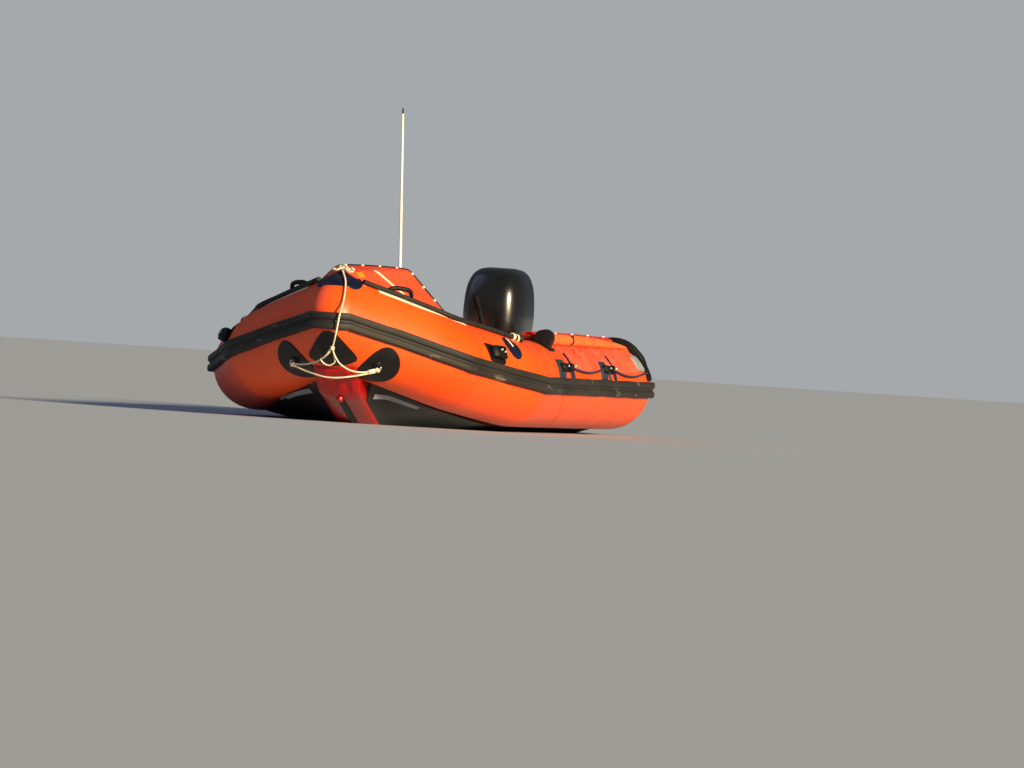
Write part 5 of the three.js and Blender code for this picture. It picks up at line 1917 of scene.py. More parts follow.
@dataclass
class Stowage:
    """The roll block, the stowage roll with its straps, the red flap, the end cover and the cover cloth."""

    tubes: TubeSkin
    block_x: float = 0.585
    block_radius: float = 0.05
    # The block's layers from aft forward: x and the scale of its outline
    block_layers: Outline = (
        (-0.055, 0.88), (-0.0535, 0.96), (-0.049, 1.0), (0.049, 1.0), (0.0535, 0.96), (0.055, 0.88),
    )
    roll_angle: float = 68
    roll_stand: float = 0.006
    # x and radius, from forward aft
    roll: Outline = ((0.525, 0.031), (0.1, 0.031), (-0.7, 0.028), (-1.4, 0.019), (-1.785, 0.009))
    strap_x: float = -0.1
    ties: Pair = (-0.72, -1.28)
    # A strap's section: along the roll and share of its radius
    strap_section: Outline = (
        (-0.012, 0.7), (-0.012, 0.93), (-0.01, 0.96), (0.01, 0.96), (0.012, 0.93), (0.012, 0.7),
    )
    strap_stand: float = 0.002
    buckle_turn: float = 0.9
    # x, half width and height
    flap: Route = (
        (0.56, 0.02, 0.016), (0.48, 0.036, 0.04), (0.4, 0.046, 0.056), (-0.6, 0.046, 0.058),
        (-1.64, 0.045, 0.051), (-1.7, 0.04, 0.046),
    )
    flap_y: float = 0.716
    toggle_start: float = 0.34
    toggle_step: float = 0.46
    # The end cover's outline, as angle and height off the tube, its foot, and its layers: x and scale
    humps: Outline = (
        (12.5, 0.004), (15, 0.02), (31, 0.02), (37, 0.026), (45, 0.036), (55, 0.042), (62, 0.05),
        (75, 0.057), (92, 0.053), (103, 0.03), (109, 0.004),
    )
    hump_foot: tuple[float, ...] = (109, 92, 75, 60, 44, 30, 12.5)
    hump_layers: Outline = (
        (-1.798, 0.86), (-1.801, 0.97), (-1.806, 1.0), (-1.864, 1.0), (-1.869, 0.97), (-1.872, 0.86),
    )
    cover_ends: Pair = (0.4, -1.79)
    cover_top: float = 66
    cover_stand: float = 0.0045
    # The middle and the reach of the cover's scallops
    scallop_x: float = -0.68
    scallops: Pair = (1.18, 1.12)
    # The wrinkles of the cover: x and angle of both ends
    wrinkles: Rows = (
        (0.1, 66, 0.3, 40), (-0.18, 66, 0.16, 33), (-0.46, 70, -0.02, 36), (-0.795, 81, -0.254, 35),
        (-0.86, 72, -0.6, 34), (-1.01, 70, -0.83, 40), (-1.16, 68, -0.98, 32), (-1.32, 68, -1.165, 38),
        (-1.46, 66, -1.33, 30), (-1.62, 66, -1.54, 40), (-1.74, 68, -1.715, 56),
    )
    wrinkle_width: float = 0.008
    wrinkle_height: float = 0.015
    cover_flat: Pair = (2.3, 0.19)

    def block(self) -> Shape:
        """Makes the round-topped block on its flange.

        Returns:
            The joined mesh.
        """
        seat = PLAN.frame_at(*PLAN.side_spot(self.block_x, self.roll_angle))
        half = self.block_radius
        dome = [(half, -0.02), (half, 0.0), (half, 0.03)]
        dome += [(y, z + 0.042) for y, z in (polar(180 * step / 16, half) for step in range(17))]
        dome += [(-half, 0.03), (-half, 0.0), (-half, -0.02)]
        body = moved(plate(dome, View.END, self.block_layers, (0.0, 0.03)), seat)
        foot = seat @ Matrix.Translation((0.02, -0.008, 0))
        return joined(body, self.tubes.patch(oval(0.095, 0.063, 8), foot))

    def roll_line(self) -> list[tuple[Vector, float]]:
        """Gives the roll's centres and radii.

        Returns:
            A centre and a radius for each ring.
        """
        rows = []
        for x, radius in self.roll:
            spot = PLAN.side_spot(x, self.roll_angle)
            rows.append((*PLAN.point(*spot, radius + self.roll_stand), radius))
        return [(Vector(row[:3]), row[3]) for row in eased_rows(rows, 30)]

    def roll_cloth(self) -> Shape:
        """Makes the rolled cloth, drawn in by its straps and creased between them.

        Returns:
            The closed mesh.
        """
        rings = []
        for place, radius in self.roll_line():
            pinch = 0.16 * fade(min(abs(place.x - x) for x in (self.strap_x, *self.ties)), 0.03)
            ring = []
            for side, (c, s) in enumerate(circle(28)):
                swirl = Vector((place.x * 5, c * 1.3, s * 1.3))
                lump = 0.06 * lumps(*swirl) + 0.04 * lumps(*swirl * 3)
                lap = 0.06 if 0.15 < side / 28 < 0.35 else 0.0
                ring.append(place + (ABEAM * c + UP * s) * radius * (1 + lump - pinch + lap))
            rings.append(ring)
        return skin(rings)

    def strap(self, x: float) -> Shape:
        """Makes a strap around the roll, with its buckle.

        Args:
            x: The strap's place along the boat.

        Returns:
            The joined mesh.
        """
        place, radius = min(self.roll_line(), key=lambda row: abs(row[0].x - x))
        section = [(run, radius * share + self.strap_stand) for run, share in self.strap_section]
        out = Vector((0, math.cos(self.buckle_turn), math.sin(self.buckle_turn)))
        at = place + out * (radius * 0.96 + self.strap_stand)
        buckle = slab((-0.014, -0.01, -0.002), (0.014, 0.01, 0.004), 0.002)
        buckle = moved(buckle, Matrix.Translation(at) @ turned_up(out))
        return joined(lathed(place, AHEAD, section, 28), buckle)

    def flap_cloth(self) -> Shape:
        """Makes the red flap rolled along the top of the tube.

        Returns:
            The closed mesh.
        """
        rings = []
        for x, half, height in eased_rows(self.flap, 24):
            ring = []
            for step in range(21):
                c, s = polar(180 * step / 20)
                lump = 0.07 * lumps(x * 7, c, s * 2) + 0.04 * lumps(x * 22, c * 3, 0)
                z = TUBE_TOP + height * (0.3 + 0.7 * s) * (1 + lump * 0.8)
                ring.append(Vector((x, self.flap_y + half * c * (1 + lump), z)))
            low = [Vector((x, self.flap_y + side * half, TUBE_TOP - 0.045)) for side in (-1, 1)]
            rings.append([*ring, *low])
        return skin(rings)

    def flap_toggles(self) -> Shape:
        """Makes the white toggles that hold the flap shut.

        Returns:
            The joined mesh.
        """
        shapes = []
        for step in range(5):
            at = Vector((self.toggle_start - step * self.toggle_step, self.flap_y + 0.03, TUBE_TOP + 0.054))
            shapes.append(rod(at - AHEAD * 0.014, at + AHEAD * 0.014, 0.0055, sides=12))
        return joined(*shapes)

    def end_cover(self) -> Shape:
        """Makes the black cover over the aft ends of the rolls.

        Returns:
            The closed mesh.
        """
        rings = []
        for x, scale in self.hump_layers:
            rows = [(angle, out * (scale if out > 0 else 1)) for angle, out in eased_rows(self.humps, 3)]
            rows += [(angle, -0.012) for angle in self.hump_foot]
            rings.append([PLAN.point(*PLAN.side_spot(x, angle), out) for angle, out in rows])
        return skin(rings)

    def cover_rise(self, x: float, angle: float) -> float:
        """Gives how far the cover's wrinkled cloth stands off the tube.

        Args:
            x: The place along the boat.
            angle: Degrees above the strake.

        Returns:
            The distance off the skin.
        """
        arc = math.radians(1) * TUBE_RADIUS
        here = Vector((x, angle * arc))
        rise = 0.0065 + 0.004 * lumps(x * 13, angle * 0.09, 0.7)
        for start_x, start_angle, end_x, end_angle in self.wrinkles:
            start = Vector((start_x, start_angle * arc))
            along = Vector((end_x, end_angle * arc)) - start
            share = max(0.0, min(1.0, (here - start).dot(along) / along.length_squared))
            off = (here - start - along * share).length + 0.01 * lumps(share * 4, start_x * 7, 0)
            height = self.wrinkle_height * math.sin(math.pi * min(1.0, share * 0.9 + 0.1))
            rise += height * fade(off, self.wrinkle_width)
        return rise

    def cover(self) -> Shape:
        """Makes the cloth from under the roll down to its scalloped edge over the lifelines.

        Returns:
            The closed mesh.
        """
        fore, aft = self.cover_ends
        columns, rows = 200, 26
        rings = []
        for column in range(columns + 1):
            x = fore + (aft - fore) * column / columns
            swing = (x - self.scallop_x) / self.scallops[0 if x > self.scallop_x else 1]
            low = 27 - 5 * abs(math.sin(math.pi * swing))
            edge = min(1.0, min(column, columns - column) / 3)
            outer, inner = [], []
            for row in range(rows + 1):
                angle = low + (self.cover_top - low) * row / rows
                spot = PLAN.side_spot(x, angle)
                rise = (self.cover_rise(x, angle) - self.cover_stand) * edge * min(1, row / 2)
                outer.append(PLAN.point(*spot, self.cover_stand + rise))
                inner.append(PLAN.point(*spot, 0.0025))
            rings.append(outer + inner[::-1])
        return skin(rings)

    def build(self) -> None:
        """Builds the stowage on both sides."""
        install_pair("roll_end_block", self.block(), MOULDED_RUBBER, ["roll_block"], 30)
        roll = self.roll_cloth()
        for piece in install_pair("rolled_cover", roll, ROLL_CANVAS, ["stowage_roll"], 60):
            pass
        install_pair("roll_strap", self.strap(self.strap_x), ROPE_BLACK)
        install_pair("roll_ties", joined(*(self.strap(x) for x in self.ties)), COVER_CANVAS)
        covers = install_pair("glued_cover", self.cover(), COVER_CANVAS, (), 60)
        for piece, side in zip(covers, Side):
            side_name("air_tube", side)
        seat = PLAN.frame_at(*PLAN.side_spot(-1.69, 38))
        install_pair("stern_patch", self.tubes.patch(oval(0.085, 0.055, 6), seat, 0.012), STRIP_GREY)
        for piece in install_pair("rolled_flap", self.flap_cloth(), FLAP_RED, ["top_flap"], 60):
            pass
        install_pair("flap_toggles", self.flap_toggles(), TOGGLE_WHITE)
        install_pair("roll_end_cover", self.end_cover(), PATCH_BLACK, ["end_cover"], 40)


@dataclass
class SideGrips:
    """The moulded grips on the sides, with their patches, and the lifelines laced into them."""

    tubes: TubeSkin
    xs: Pair = (0.5, -0.68)
    angle: float = 25
    base_halves: Pair = (0.14, 0.027)
    base_steps: Outline = ((1, -0.006), (1, 0.006), (0.95, 0.009), (0.6, 0.009), (0.3, 0.009), (0.05, 0.009))
    foot_run: float = 0.106
    # Half of the bar's arch: along the tube and out of it
    arch: Outline = ((-0.115, 0.012), (-0.09, 0.024), (-0.045, 0.0265))
    studs: Outline = ((-0.106, 0.006), (-0.02, 0.0), (0.1, -0.006))
    # Aft along the tube and up around it, from the middle of a grip
    patch: Outline = ((-0.17, 0.051), (-0.22, -0.062), (-0.06, -0.062), (0.0, 0.051))
    # How far aft of each grip its strips of webbing are, and the angles that they run between
    webbing_aft: float = 0.16
    webbing_angles: Pair = (47, 12)
    tails: Rows = ((0.11, 0.17), (-0.1, 0.02, 0.18))
    tail_angles: Pair = (23, 10.5)
    lifeline_radius: float = 0.007
    lifeline_out: float = 0.014
    # x and angle
    routes: tuple[Outline, ...] = (
        ((0.359, 25), (0.33, 24.6), (0.28, 23.4), (0.2, 21.8), (0.1, 20.4), (0.0, 19.4), (-0.09, 19),
         (-0.18, 19.4), (-0.28, 20.4), (-0.38, 21.8), (-0.46, 23.4), (-0.51, 24.6), (-0.539, 25)),
        ((-0.821, 25), (-0.85, 24.4), (-0.9, 22.8), (-0.98, 20.6), (-1.08, 18.6), (-1.2, 17.2),
         (-1.31, 16.8), (-1.42, 17.2), (-1.54, 18.6), (-1.64, 20.4), (-1.72, 22.2), (-1.77, 23),
         (-1.797, 23)),
    )

    def strip(self, x: float, angles: Pair, half: float) -> Shape:
        """Makes a strip of webbing down the tube.

        Args:
            x: Its place along the boat.
            angles: Its upper and its lower end.
            half: Half its width.

        Returns:
            The closed mesh.
        """
        high, low = angles
        line = [PLAN.point(*PLAN.side_spot(x, high + (low - high) * step / 12)) for step in range(13)]
        return self.tubes.band(line, half, 0.0105)

    def grip(self, seat: Matrix) -> Shape:
        """Makes a grip: a bar with a finger gap between two moulded feet, on its base.

        Args:
            seat: The grip's frame on the tube.

        Returns:
            The joined mesh.
        """
        shapes = [self.tubes.drape(moulding(oval(*self.base_halves, 7), self.base_steps), seat)]
        for end in (-self.foot_run, self.foot_run):
            foot = moulding(oval(0.03, 0.024, 4), dome_steps(0.03, edge=0.75))
            shapes.append(self.tubes.drape(moved(foot, Matrix.Translation(AHEAD * end)), seat))
        arch = [*self.arch, *((-x, z) for x, z in self.arch[::-1])]
        line = run_through([seat @ Vector((x, 0, z)) for x, z in arch], 0.01, 8)
        return joined(*shapes, hose(line, 0.0095, 14))

    def build(self) -> None:
        """Builds the grips and the lifelines on both sides."""
        for number, x in enumerate(self.xs, 1):
            seat = PLAN.frame_at(*PLAN.side_spot(x, self.angle))
            patch = self.tubes.patch(rounded(self.patch, 0.01), seat, 0.0075)
            install_pair(f"grip_patch_{number}", patch, STRIP_SLATE)
            grip, nodes = self.grip(seat), [f"side_grip_{number}"]
            install_pair(f"moulded_grip_{number}", grip, MOULDED_RUBBER, nodes)
            webbing = self.strip(x - self.webbing_aft, self.webbing_angles, 0.013)
            install_pair(f"grip_webbing_{number}", webbing, PATCH_NAVY)
            tails = [self.strip(x - aft, self.tail_angles, 0.012) for aft in self.tails[number - 1]]
            install_pair(f"grip_tails_{number}", joined(*tails), STRIP_SLATE)
            install_pair(f"grip_studs_{number}", studs(seat, self.studs, 0.026, 0.04), TOGGLE_WHITE)
        for number, route in enumerate(self.routes, 1):
            self.lifeline(number, route)

    def lifeline(self, number: int, route: Outline) -> None:
        """Builds a lifeline on each side, as a cord along its route.

        Args:
            number: Its number, from forward.
            route: Its route.
        """
        places = [PLAN.point(*PLAN.side_spot(x, angle), self.lifeline_out) for x, angle in route]
        line = run_through(places, 0.006)
        rope, nodes = hose(line, self.lifeline_radius, 14, 8, 0.04), [f"lifeline_{number}"]
        pieces = install_pair(f"braided_lifeline_{number}", rope, ROPE_NAVY, nodes, 60)


@dataclass
class BowFittings:
    """The patches at the bow, with the towing eyes that the ropes are made fast to."""

    tubes: TubeSkin
    towing: Spot = (Length.FORE, 0.3, -46)
    towing_halves: Pair = (0.11, 0.142)
    eye: Triple = (2.212, 0.235, 0.335)
    eye_out: Triple = (0.51, 0.55, -0.66)
    eye_stand: float = 0.024
    top: Triple = (2.256, 0.0, 0.82)
    top_halves: Pair = (0.118, 0.126)
    top_eye: Triple = (2.232, 0.0, 0.858)
    wire: float = 0.0042
    # y and z of the centre patch's port half
    centre: Outline = (
        (0.0, 0.508), (0.03, 0.505), (0.046, 0.492), (0.078, 0.455), (0.105, 0.42), (0.13, 0.388),
        (0.138, 0.37), (0.132, 0.352), (0.112, 0.342), (0.07, 0.326), (0.0, 0.316),
    )
    centre_middle: Triple = (2.3, 0.0, 0.42)

    def ring(self, middle: Vector, axis: Vector, radius: float) -> Shape:
        """Makes a round ring of wire.

        Args:
            middle: Its middle.
            axis: The way through it.
            radius: The radius of its wire's centreline.

        Returns:
            The closed mesh.
        """
        across = axis.orthogonal().normalized()
        line = wheel(middle, across, axis.normalized().cross(across), radius, 28)
        return hose([*line, line[0]], self.wire, 10)

    def facing(self, at: Triple, out: Vector, up: Vector) -> Matrix:
        """Gives axes at a place.

        Args:
            at: The place.
            out: The way of Z.
            up: The way that Y comes as near to as it can.

        Returns:
            The axes.
        """
        z = out.normalized()
        x = up.cross(z).normalized()
        return axes_at(x, z.cross(x), z, Vector(at))

    def build(self) -> None:
        """Builds the patches and the eyes."""
        patch = self.tubes.patch(oval(*self.towing_halves), PLAN.frame_at(*self.towing), reach=0.1)
        install_pair("towing_patch", patch, PATCH_BLACK, ["bow_patch"])
        out = Vector(self.eye_out).normalized()
        dome = moulding(oval(0.03, 0.03), dome_steps(0.014, 0.012, 0.7))
        install_pair("towing_eye_base", moved(dome, self.facing(self.eye, out, UP)), MOULDED_RUBBER)
        loop = self.ring(Vector(self.eye) + out * self.eye_stand, out.cross(UP), 0.015)
        install_pair("towing_eye_ring", loop, STAINLESS)
        whole = [*self.centre, *((-y, z) for y, z in self.centre[-2:0:-1])]
        outline = [(y, z - self.centre_middle[2]) for y, z in whole]
        centre = self.tubes.patch(outline, self.facing(self.centre_middle, AHEAD, UP), reach=0.3)
        install("centre_patch_black", centre, PATCH_BLACK, ["centre_patch"])
        navy = self.tubes.patch(oval(*self.top_halves), self.facing(self.top, UP, ABEAM), reach=0.3)
        install("nose_patch", navy, PATCH_NAVY, ["top_patch"])
        x, y, z = self.top_eye
        install("nose_eye_base", rod((x, y, z - 0.028), (x, y, z - 0.006), 0.018, 0.013, 20), MOULDED_RUBBER)
        install("nose_eye_ring", self.ring(Vector(self.top_eye), Vector((1, 0, 0.2)), 0.016), STAINLESS)


@dataclass
class TowRopes:
    """The painter from the nose's eye, and the two bridles that it is tied to."""

    radius: float = 0.005
    painter: Route = (
        (2.2515, 0.005, 0.854), (2.27, 0.012, 0.85), (2.306, 0.03, 0.828), (2.35, 0.052, 0.792),
        (2.414, 0.068, 0.724), (2.456, 0.071, 0.668), (2.492, 0.071, 0.63), (2.509, 0.068, 0.6),
        (2.512, 0.063, 0.56), (2.511, 0.057, 0.516), (2.501, 0.048, 0.471), (2.483, 0.038, 0.44),
        (2.468, 0.031, 0.422),
    )
    upper: Route = (
        (2.2456, 0.241, 0.3135), (2.256, 0.229, 0.306), (2.275, 0.2, 0.296), (2.302, 0.16, 0.289),
        (2.345, 0.108, 0.298), (2.402, 0.062, 0.331), (2.44, 0.042, 0.368), (2.462, 0.024, 0.408),
        (2.436, -0.012, 0.372), (2.395, -0.06, 0.34), (2.352, -0.107, 0.325), (2.308, -0.16, 0.314),
        (2.272, -0.206, 0.311), (2.252, -0.232, 0.311), (2.245, -0.242, 0.3125),
    )
    lower: Route = (
        (2.231, 0.24, 0.3025), (2.24, 0.226, 0.294), (2.262, 0.195, 0.285), (2.29, 0.14, 0.27),
        (2.312, 0.076, 0.257), (2.32, 0.019, 0.25), (2.315, -0.043, 0.252), (2.298, -0.099, 0.263),
        (2.276, -0.157, 0.277), (2.256, -0.203, 0.291), (2.241, -0.226, 0.298), (2.2305, -0.236, 0.3),
    )
    # The slack loop below the painter's knot
    slack: Route = (
        (2.45, 0.019, 0.397), (2.42, -0.031, 0.356), (2.412, -0.046, 0.349), (2.405, -0.03, 0.328),
        (2.405, 0.002, 0.317), (2.415, 0.036, 0.338), (2.44, 0.035, 0.376),
    )
    # The turns of the painter's end on the nose
    pile: Route = (
        (2.246, 0.01, 0.862), (2.238, -0.03, 0.858), (2.262, -0.044, 0.85), (2.284, -0.016, 0.85),
        (2.262, 0.018, 0.866), (2.236, 0.046, 0.858), (2.252, 0.07, 0.846), (2.28, 0.05, 0.846),
        (2.27, 0.006, 0.862), (2.244, -0.01, 0.872), (2.262, 0.03, 0.874), (2.29, 0.062, 0.84),
    )
    toggles: Route = ((2.262, 0.062, 0.866), (2.282, 0.03, 0.86))
    toggle_run: Triple = (0.012, 0.02, -0.01)
    tie: Triple = (2.464, 0.028, 0.414)
    bridle_end: Triple = (2.239, 0.243, 0.308)

    def laid(self, line: Places, radius: float) -> Shape:
        """Makes laid rope of three strands along a line."""
        return hose(line, radius, 15, 3, 0.045)

    def rope(self, name: str, route: Route, node: str, far_end: str, knots: Sequence[Piece]) -> None:
        """Args:
            name: The piece's name.
            route: The rope's route.
            node: The solid that it stands for.
            far_end: What its far end is made fast to; not used.
            knots: The pieces that belong to it; not used.
        """
        line = run_through(route, 0.004, 12)
        piece = install(name, self.laid(line, self.radius), ROPE_CREAM, [node], 60)

    def build(self) -> None:
        """Builds the ropes and their knots."""
        turns = knot(Vector(self.tie), self.radius, Vector((0.2, 0.2, 1)), 2.8)
        tie = install("painter_knot", turns, ROPE_CREAM)
        pile = self.laid(run_through(self.pile, 0.004, 12), self.radius)
        loops = install("painter_loops", pile, ROPE_CREAM)
        bars = [rod(at, Vector(at) + Vector(self.toggle_run), 0.006, 0.005) for at in self.toggles]
        toggles = install("painter_toggles", joined(*bars), TOGGLE_WHITE)
        self.rope("painter_rope", self.painter, "painter", "knot", [tie, loops, toggles])
        ends = []
        for side in Side:
            x, y, z = self.bridle_end
            turns = knot(Vector((x, side.value * y, z)), self.radius, Vector((1, -side.value, 0.4)), 2.6)
            ends.append(install(side_name("bridle_knot", side), turns, ROPE_CREAM))
        slack = self.laid(run_through(self.slack, 0.004, 12), self.radius * 0.9)
        ends.append(install("bridle_slack", slack, ROPE_CREAM))
        whipped = whipping(Vector(self.upper[1]), Vector(self.upper[2]), self.radius + 0.002, 0.0032, 6)
        ends.append(install("bridle_whipping", whipped, TOGGLE_WHITE))
        self.rope("upper_bridle_rope", self.upper, "bridle_upper", "object", ends)
        self.rope("lower_bridle_rope", self.lower, "bridle_lower", "object", [])


@dataclass
class FuelBag:
    """The flexible fuel bag on the ramp under the dodger."""

    x: float = 1.56
    half_length: float = 0.155
    half_width: float = 0.195
    # z, and how much the outline grows there
    levels: Outline = (
        (0.236, -0.06), (0.244, -0.03), (0.262, -0.004), (0.28, 0.006), (0.3, 0.009), (0.322, 0.006),
        (0.342, -0.008), (0.358, -0.028), (0.368, -0.052), (0.374, -0.085), (0.376, -0.125),
    )

    def build(self) -> None:
        """Builds the bag, plump between its seams."""
        rings = []
        for z, grow in self.levels:
            outline = oval(self.half_length + grow, self.half_width + grow, 3.2, 56)
            rings.append([
                Vector((self.x + u, v, z + 0.006 * lumps(u * 12, v * 12, z * 9))) for u, v in outline
            ])
        bag = install("flexible_fuel_bag", skin(rings), FUEL_RUBBER, ["fuel_bag"], 60)
        cap = rod((self.x + 0.05, 0.05, 0.372), (self.x + 0.05, 0.05, 0.394), 0.02, 0.018)
        install("fuel_bag_cap", cap, ENGINE_TRIM)


@dataclass
class Engine:
    """The outboard engine: brackets, leg, gearcase, propeller, cowling and tiller."""

    # z, the middle's x, half length and half width
    cowling_levels: Rows = (
        (0.46, -2.0, 0.225, 0.138), (0.5, -1.995, 0.275, 0.172), (0.64, -1.993, 0.295, 0.19),
        (0.8, -1.998, 0.285, 0.184), (0.89, -2.008, 0.25, 0.16), (0.935, -2.02, 0.195, 0.12),
        (0.95, -2.028, 0.12, 0.07),
    )
    seam_z: float = 0.56
    seam_depth: float = 0.006
    # The groove between cover and tray: lift and inset
    groove: Outline = ((-0.008, 0.0), (-0.004, 0.005), (0.004, 0.005), (0.008, 0.0))
    cheek: Outline = ((-1.76, 0.462), (-1.668, 0.49), (-1.648, 0.512), (-1.668, 0.534), (-1.76, 0.534))
    grille_rows: int = 4
    leg_levels: Rows = (
        (0.4597, -2.08, 0.08, 0.08), (0.36, -2.105, 0.07, 0.062), (0.06, -2.11, 0.072, 0.048),
        (-0.205, -2.105, 0.09, 0.034),
    )
    yoke_x: float = -1.985
    yokes: Outline = ((0.362, 0.44), (0.03, 0.066))
    # The port half of the plate over the propeller, and its layers: z and scale
    plate_half: Outline = (
        (-2.01, 0.045), (-2.06, 0.074), (-2.12, 0.095), (-2.23, 0.096), (-2.33, 0.09), (-2.345, 0.07),
        (-2.345, 0.04),
    )
    plate_layers: Outline = ((-0.212, 0.97), (-0.21, 1.0), (-0.204, 1.0), (-0.202, 0.97))
    # z, half length and half width
    strut_x: float = -2.105
    strut: Route = (
        (-0.2123, 0.092, 0.024), (-0.25, 0.088, 0.021), (-0.3, 0.085, 0.021), (-0.34, 0.088, 0.026),
    )
    # Distance forward of the torpedo's middle and radius
    torpedo_x: float = -2.08
    torpedo: Outline = (
        (0.15, 1e-4), (0.1465, 0.012), (0.138, 0.022), (0.122, 0.032), (0.105, 0.038), (0.08, 0.043),
        (0.05, 0.045), (-0.095, 0.045), (-0.112, 0.043), (-0.12, 0.04), (-0.12, 1e-4),
    )
    skeg: Outline = (
        (-2.01, -0.38), (-2.026, -0.44), (-2.046, -0.5), (-2.065, -0.52), (-2.11, -0.52),
        (-2.125, -0.5), (-2.165, -0.38),
    )
    skeg_layers: Outline = ((-0.006, 0.9), (-0.005, 1.0), (0.005, 1.0), (0.006, 0.9))
    shaft: Triple = (-2.268, 0, -0.36)
    # Distance forward of the propeller's middle and radius
    hub: Outline = (
        (0.06, 0.039), (0.057, 0.042), (0.0, 0.04), (-0.05, 0.0345), (-0.055, 0.033), (-0.055, 0.026),
        (-0.03, 0.024),
    )
    # Radius, half chord and pitch in degrees
    blade_rows: Route = (
        (0.03, 0.04, 34), (0.055, 0.052, 31), (0.08, 0.058, 28), (0.1, 0.055, 24), (0.12, 0.046, 20),
        (0.134, 0.028, 16), (0.14, 0.01, 14),
    )
    tiller_pivot: Triple = (-1.668, 0, 0.512)
    tiller_rise: float = 35
    # The grip's rings: distance from the pivot and radius, with eleven ribs between them
    grip_start: Outline = ((0.322, 0.016), (0.326, 0.0195), (0.336, 0.02))
    grip_rib: Outline = ((0.34, 0.0198), (0.343, 0.018), (0.346, 0.018))
    grip_end: Outline = ((0.441, 0.0198), (0.45, 0.0195), (0.455, 0.016))

    def cover(self) -> Shape:
        """Makes the cowling, with the groove between its cover and its tray.

        Returns:
            The closed mesh.
        """
        rings = []
        for z, x, length, width in eased_rows(self.cowling_levels, 7):
            inset = self.seam_depth * fade(z - self.seam_z, self.seam_depth)
            rings.append(level_oval((x, 0, z), (length - inset, width - inset), 3.2, 64))
        low, high = (Vector(level) for level in self.cowling_levels[1:3])
        groove = []
        for lift, inset in self.groove:
            z, x, length, width = low.lerp(high, (self.seam_z + lift - low[0]) / (high[0] - low[0]))
            groove.append(level_oval((x, 0, z), (length - inset, width - inset), 3.2, 64))
        tray = [ring for ring in rings if ring[0].z < self.seam_z - 0.012]
        lid = [ring for ring in rings if ring[0].z > self.seam_z + 0.012]
        return skin([*tray, *groove, *lid])

    def cowling(self) -> None:
        """Builds the cowling with its cheeks, its grille and its catch."""
        cheeks = [
            plate(self.cheek, View.SIDE, ((low, 1), (high, 1)))
            for low, high in ((-0.044, -0.03), (0.03, 0.044))
        ]
        whole = joined(self.cover(), *cheeks)
        install("cowling_cover", whole, ENGINE_ENAMEL, ["cowling"], 35, "outboard")
        slats = []
        for row in range(self.grille_rows):
            low = (-2.25 - 0.002 * row, -0.1, 0.76 + row * 0.022)
            slats.append(slab(low, (-2.236, 0.1, low[2] + 0.01), 0.002))
        install("cowling_grille", joined(*slats), ENGINE_TRIM, body="outboard")
        lever = slab((-1.722, -0.03, 0.545), (-1.708, 0.03, 0.59))
        catch = joined(lever, rod((-1.712, -0.02, 0.552), (-1.712, 0.02, 0.552), 0.006))
        install("cowling_catch", catch, ENGINE_TRIM, body="outboard")

    def lower_unit(self) -> None:
        """Builds the leg and the gearcase with their plate, strut, skeg and anode."""
        rows = eased_rows(self.leg_levels, 8)
        shapes = [skin([level_oval((x, 0, z), (length, width), 2.5, 40) for z, x, length, width in rows])]
        outline = [(-1.99, 0.0), *self.plate_half, *((x, -y) for x, y in self.plate_half[::-1])]
        shapes.append(plate(outline, View.ABOVE, self.plate_layers, (-2.17, 0.0)))
        for low, high in self.yokes:
            shapes.append(rod((self.yoke_x, 0, low), (self.yoke_x, 0, high), 0.038, sides=32))
            shapes.append(slab((-2.11, -0.03, low), (self.yoke_x, 0.03, high), 0.005))
        install("leg_housing", joined(*shapes), ENGINE_CASTING, ["leg"], 35, "outboard")
        strut = skin([
            level_oval((self.strut_x, 0, z), (length, width), 2.3, 40) for z, length, width in self.strut
        ])
        torpedo = lathed(Vector((self.torpedo_x, 0, self.shaft[2])), AHEAD, self.torpedo, 40)
        skeg = plate(self.skeg, View.SIDE, self.skeg_layers, (-2.09, -0.44))
        whole = joined(strut, torpedo, skeg)
        install("gearcase_housing", whole, ENGINE_CASTING, ["gearcase"], 35, "outboard")
        anode = slab((-2.325, -0.012, -0.236), (-2.24, 0.012, -0.211), 0.005)
        install("trim_anode", anode, ZINC, body="outboard")

    def blade(self) -> Shape:
        """Makes one cupped blade, standing up from the shaft's middle.

        Returns:
            The closed mesh.
        """
        rings = []
        for radius, half, pitch in self.blade_rows:
            c, s = polar(pitch + 30)
            ring = []
            for u, v in oval(half, 0.0035, 2.0, 20):
                thick = v - 0.006 * (u / 0.058) ** 2
                ring.append(Vector(((u * s - thick * c) * 0.75, u * c + thick * s, radius)))
            rings.append(ring)
        return skin(rings)

    def propeller(self) -> None:
        """Builds the propeller: a hub, three blades and the nut."""
        middle = Vector(self.shaft)
        shapes = [lathed(middle, AHEAD, self.hub, 36)]
        for turn in (0, 120, 240):
            place = Matrix.Translation(middle) @ Matrix.Rotation(math.radians(turn), 4, "X")
            shapes.append(moved(self.blade(), place))
        whole = joined(*shapes)
        install("propeller_blades", whole, ENGINE_CASTING, ["propeller"], 35, "propeller")
        nut = rod(middle - AHEAD * 0.05, middle - AHEAD * 0.068, 0.016, 0.013, 6)
        install("propeller_nut", nut, STAINLESS, body="propeller")

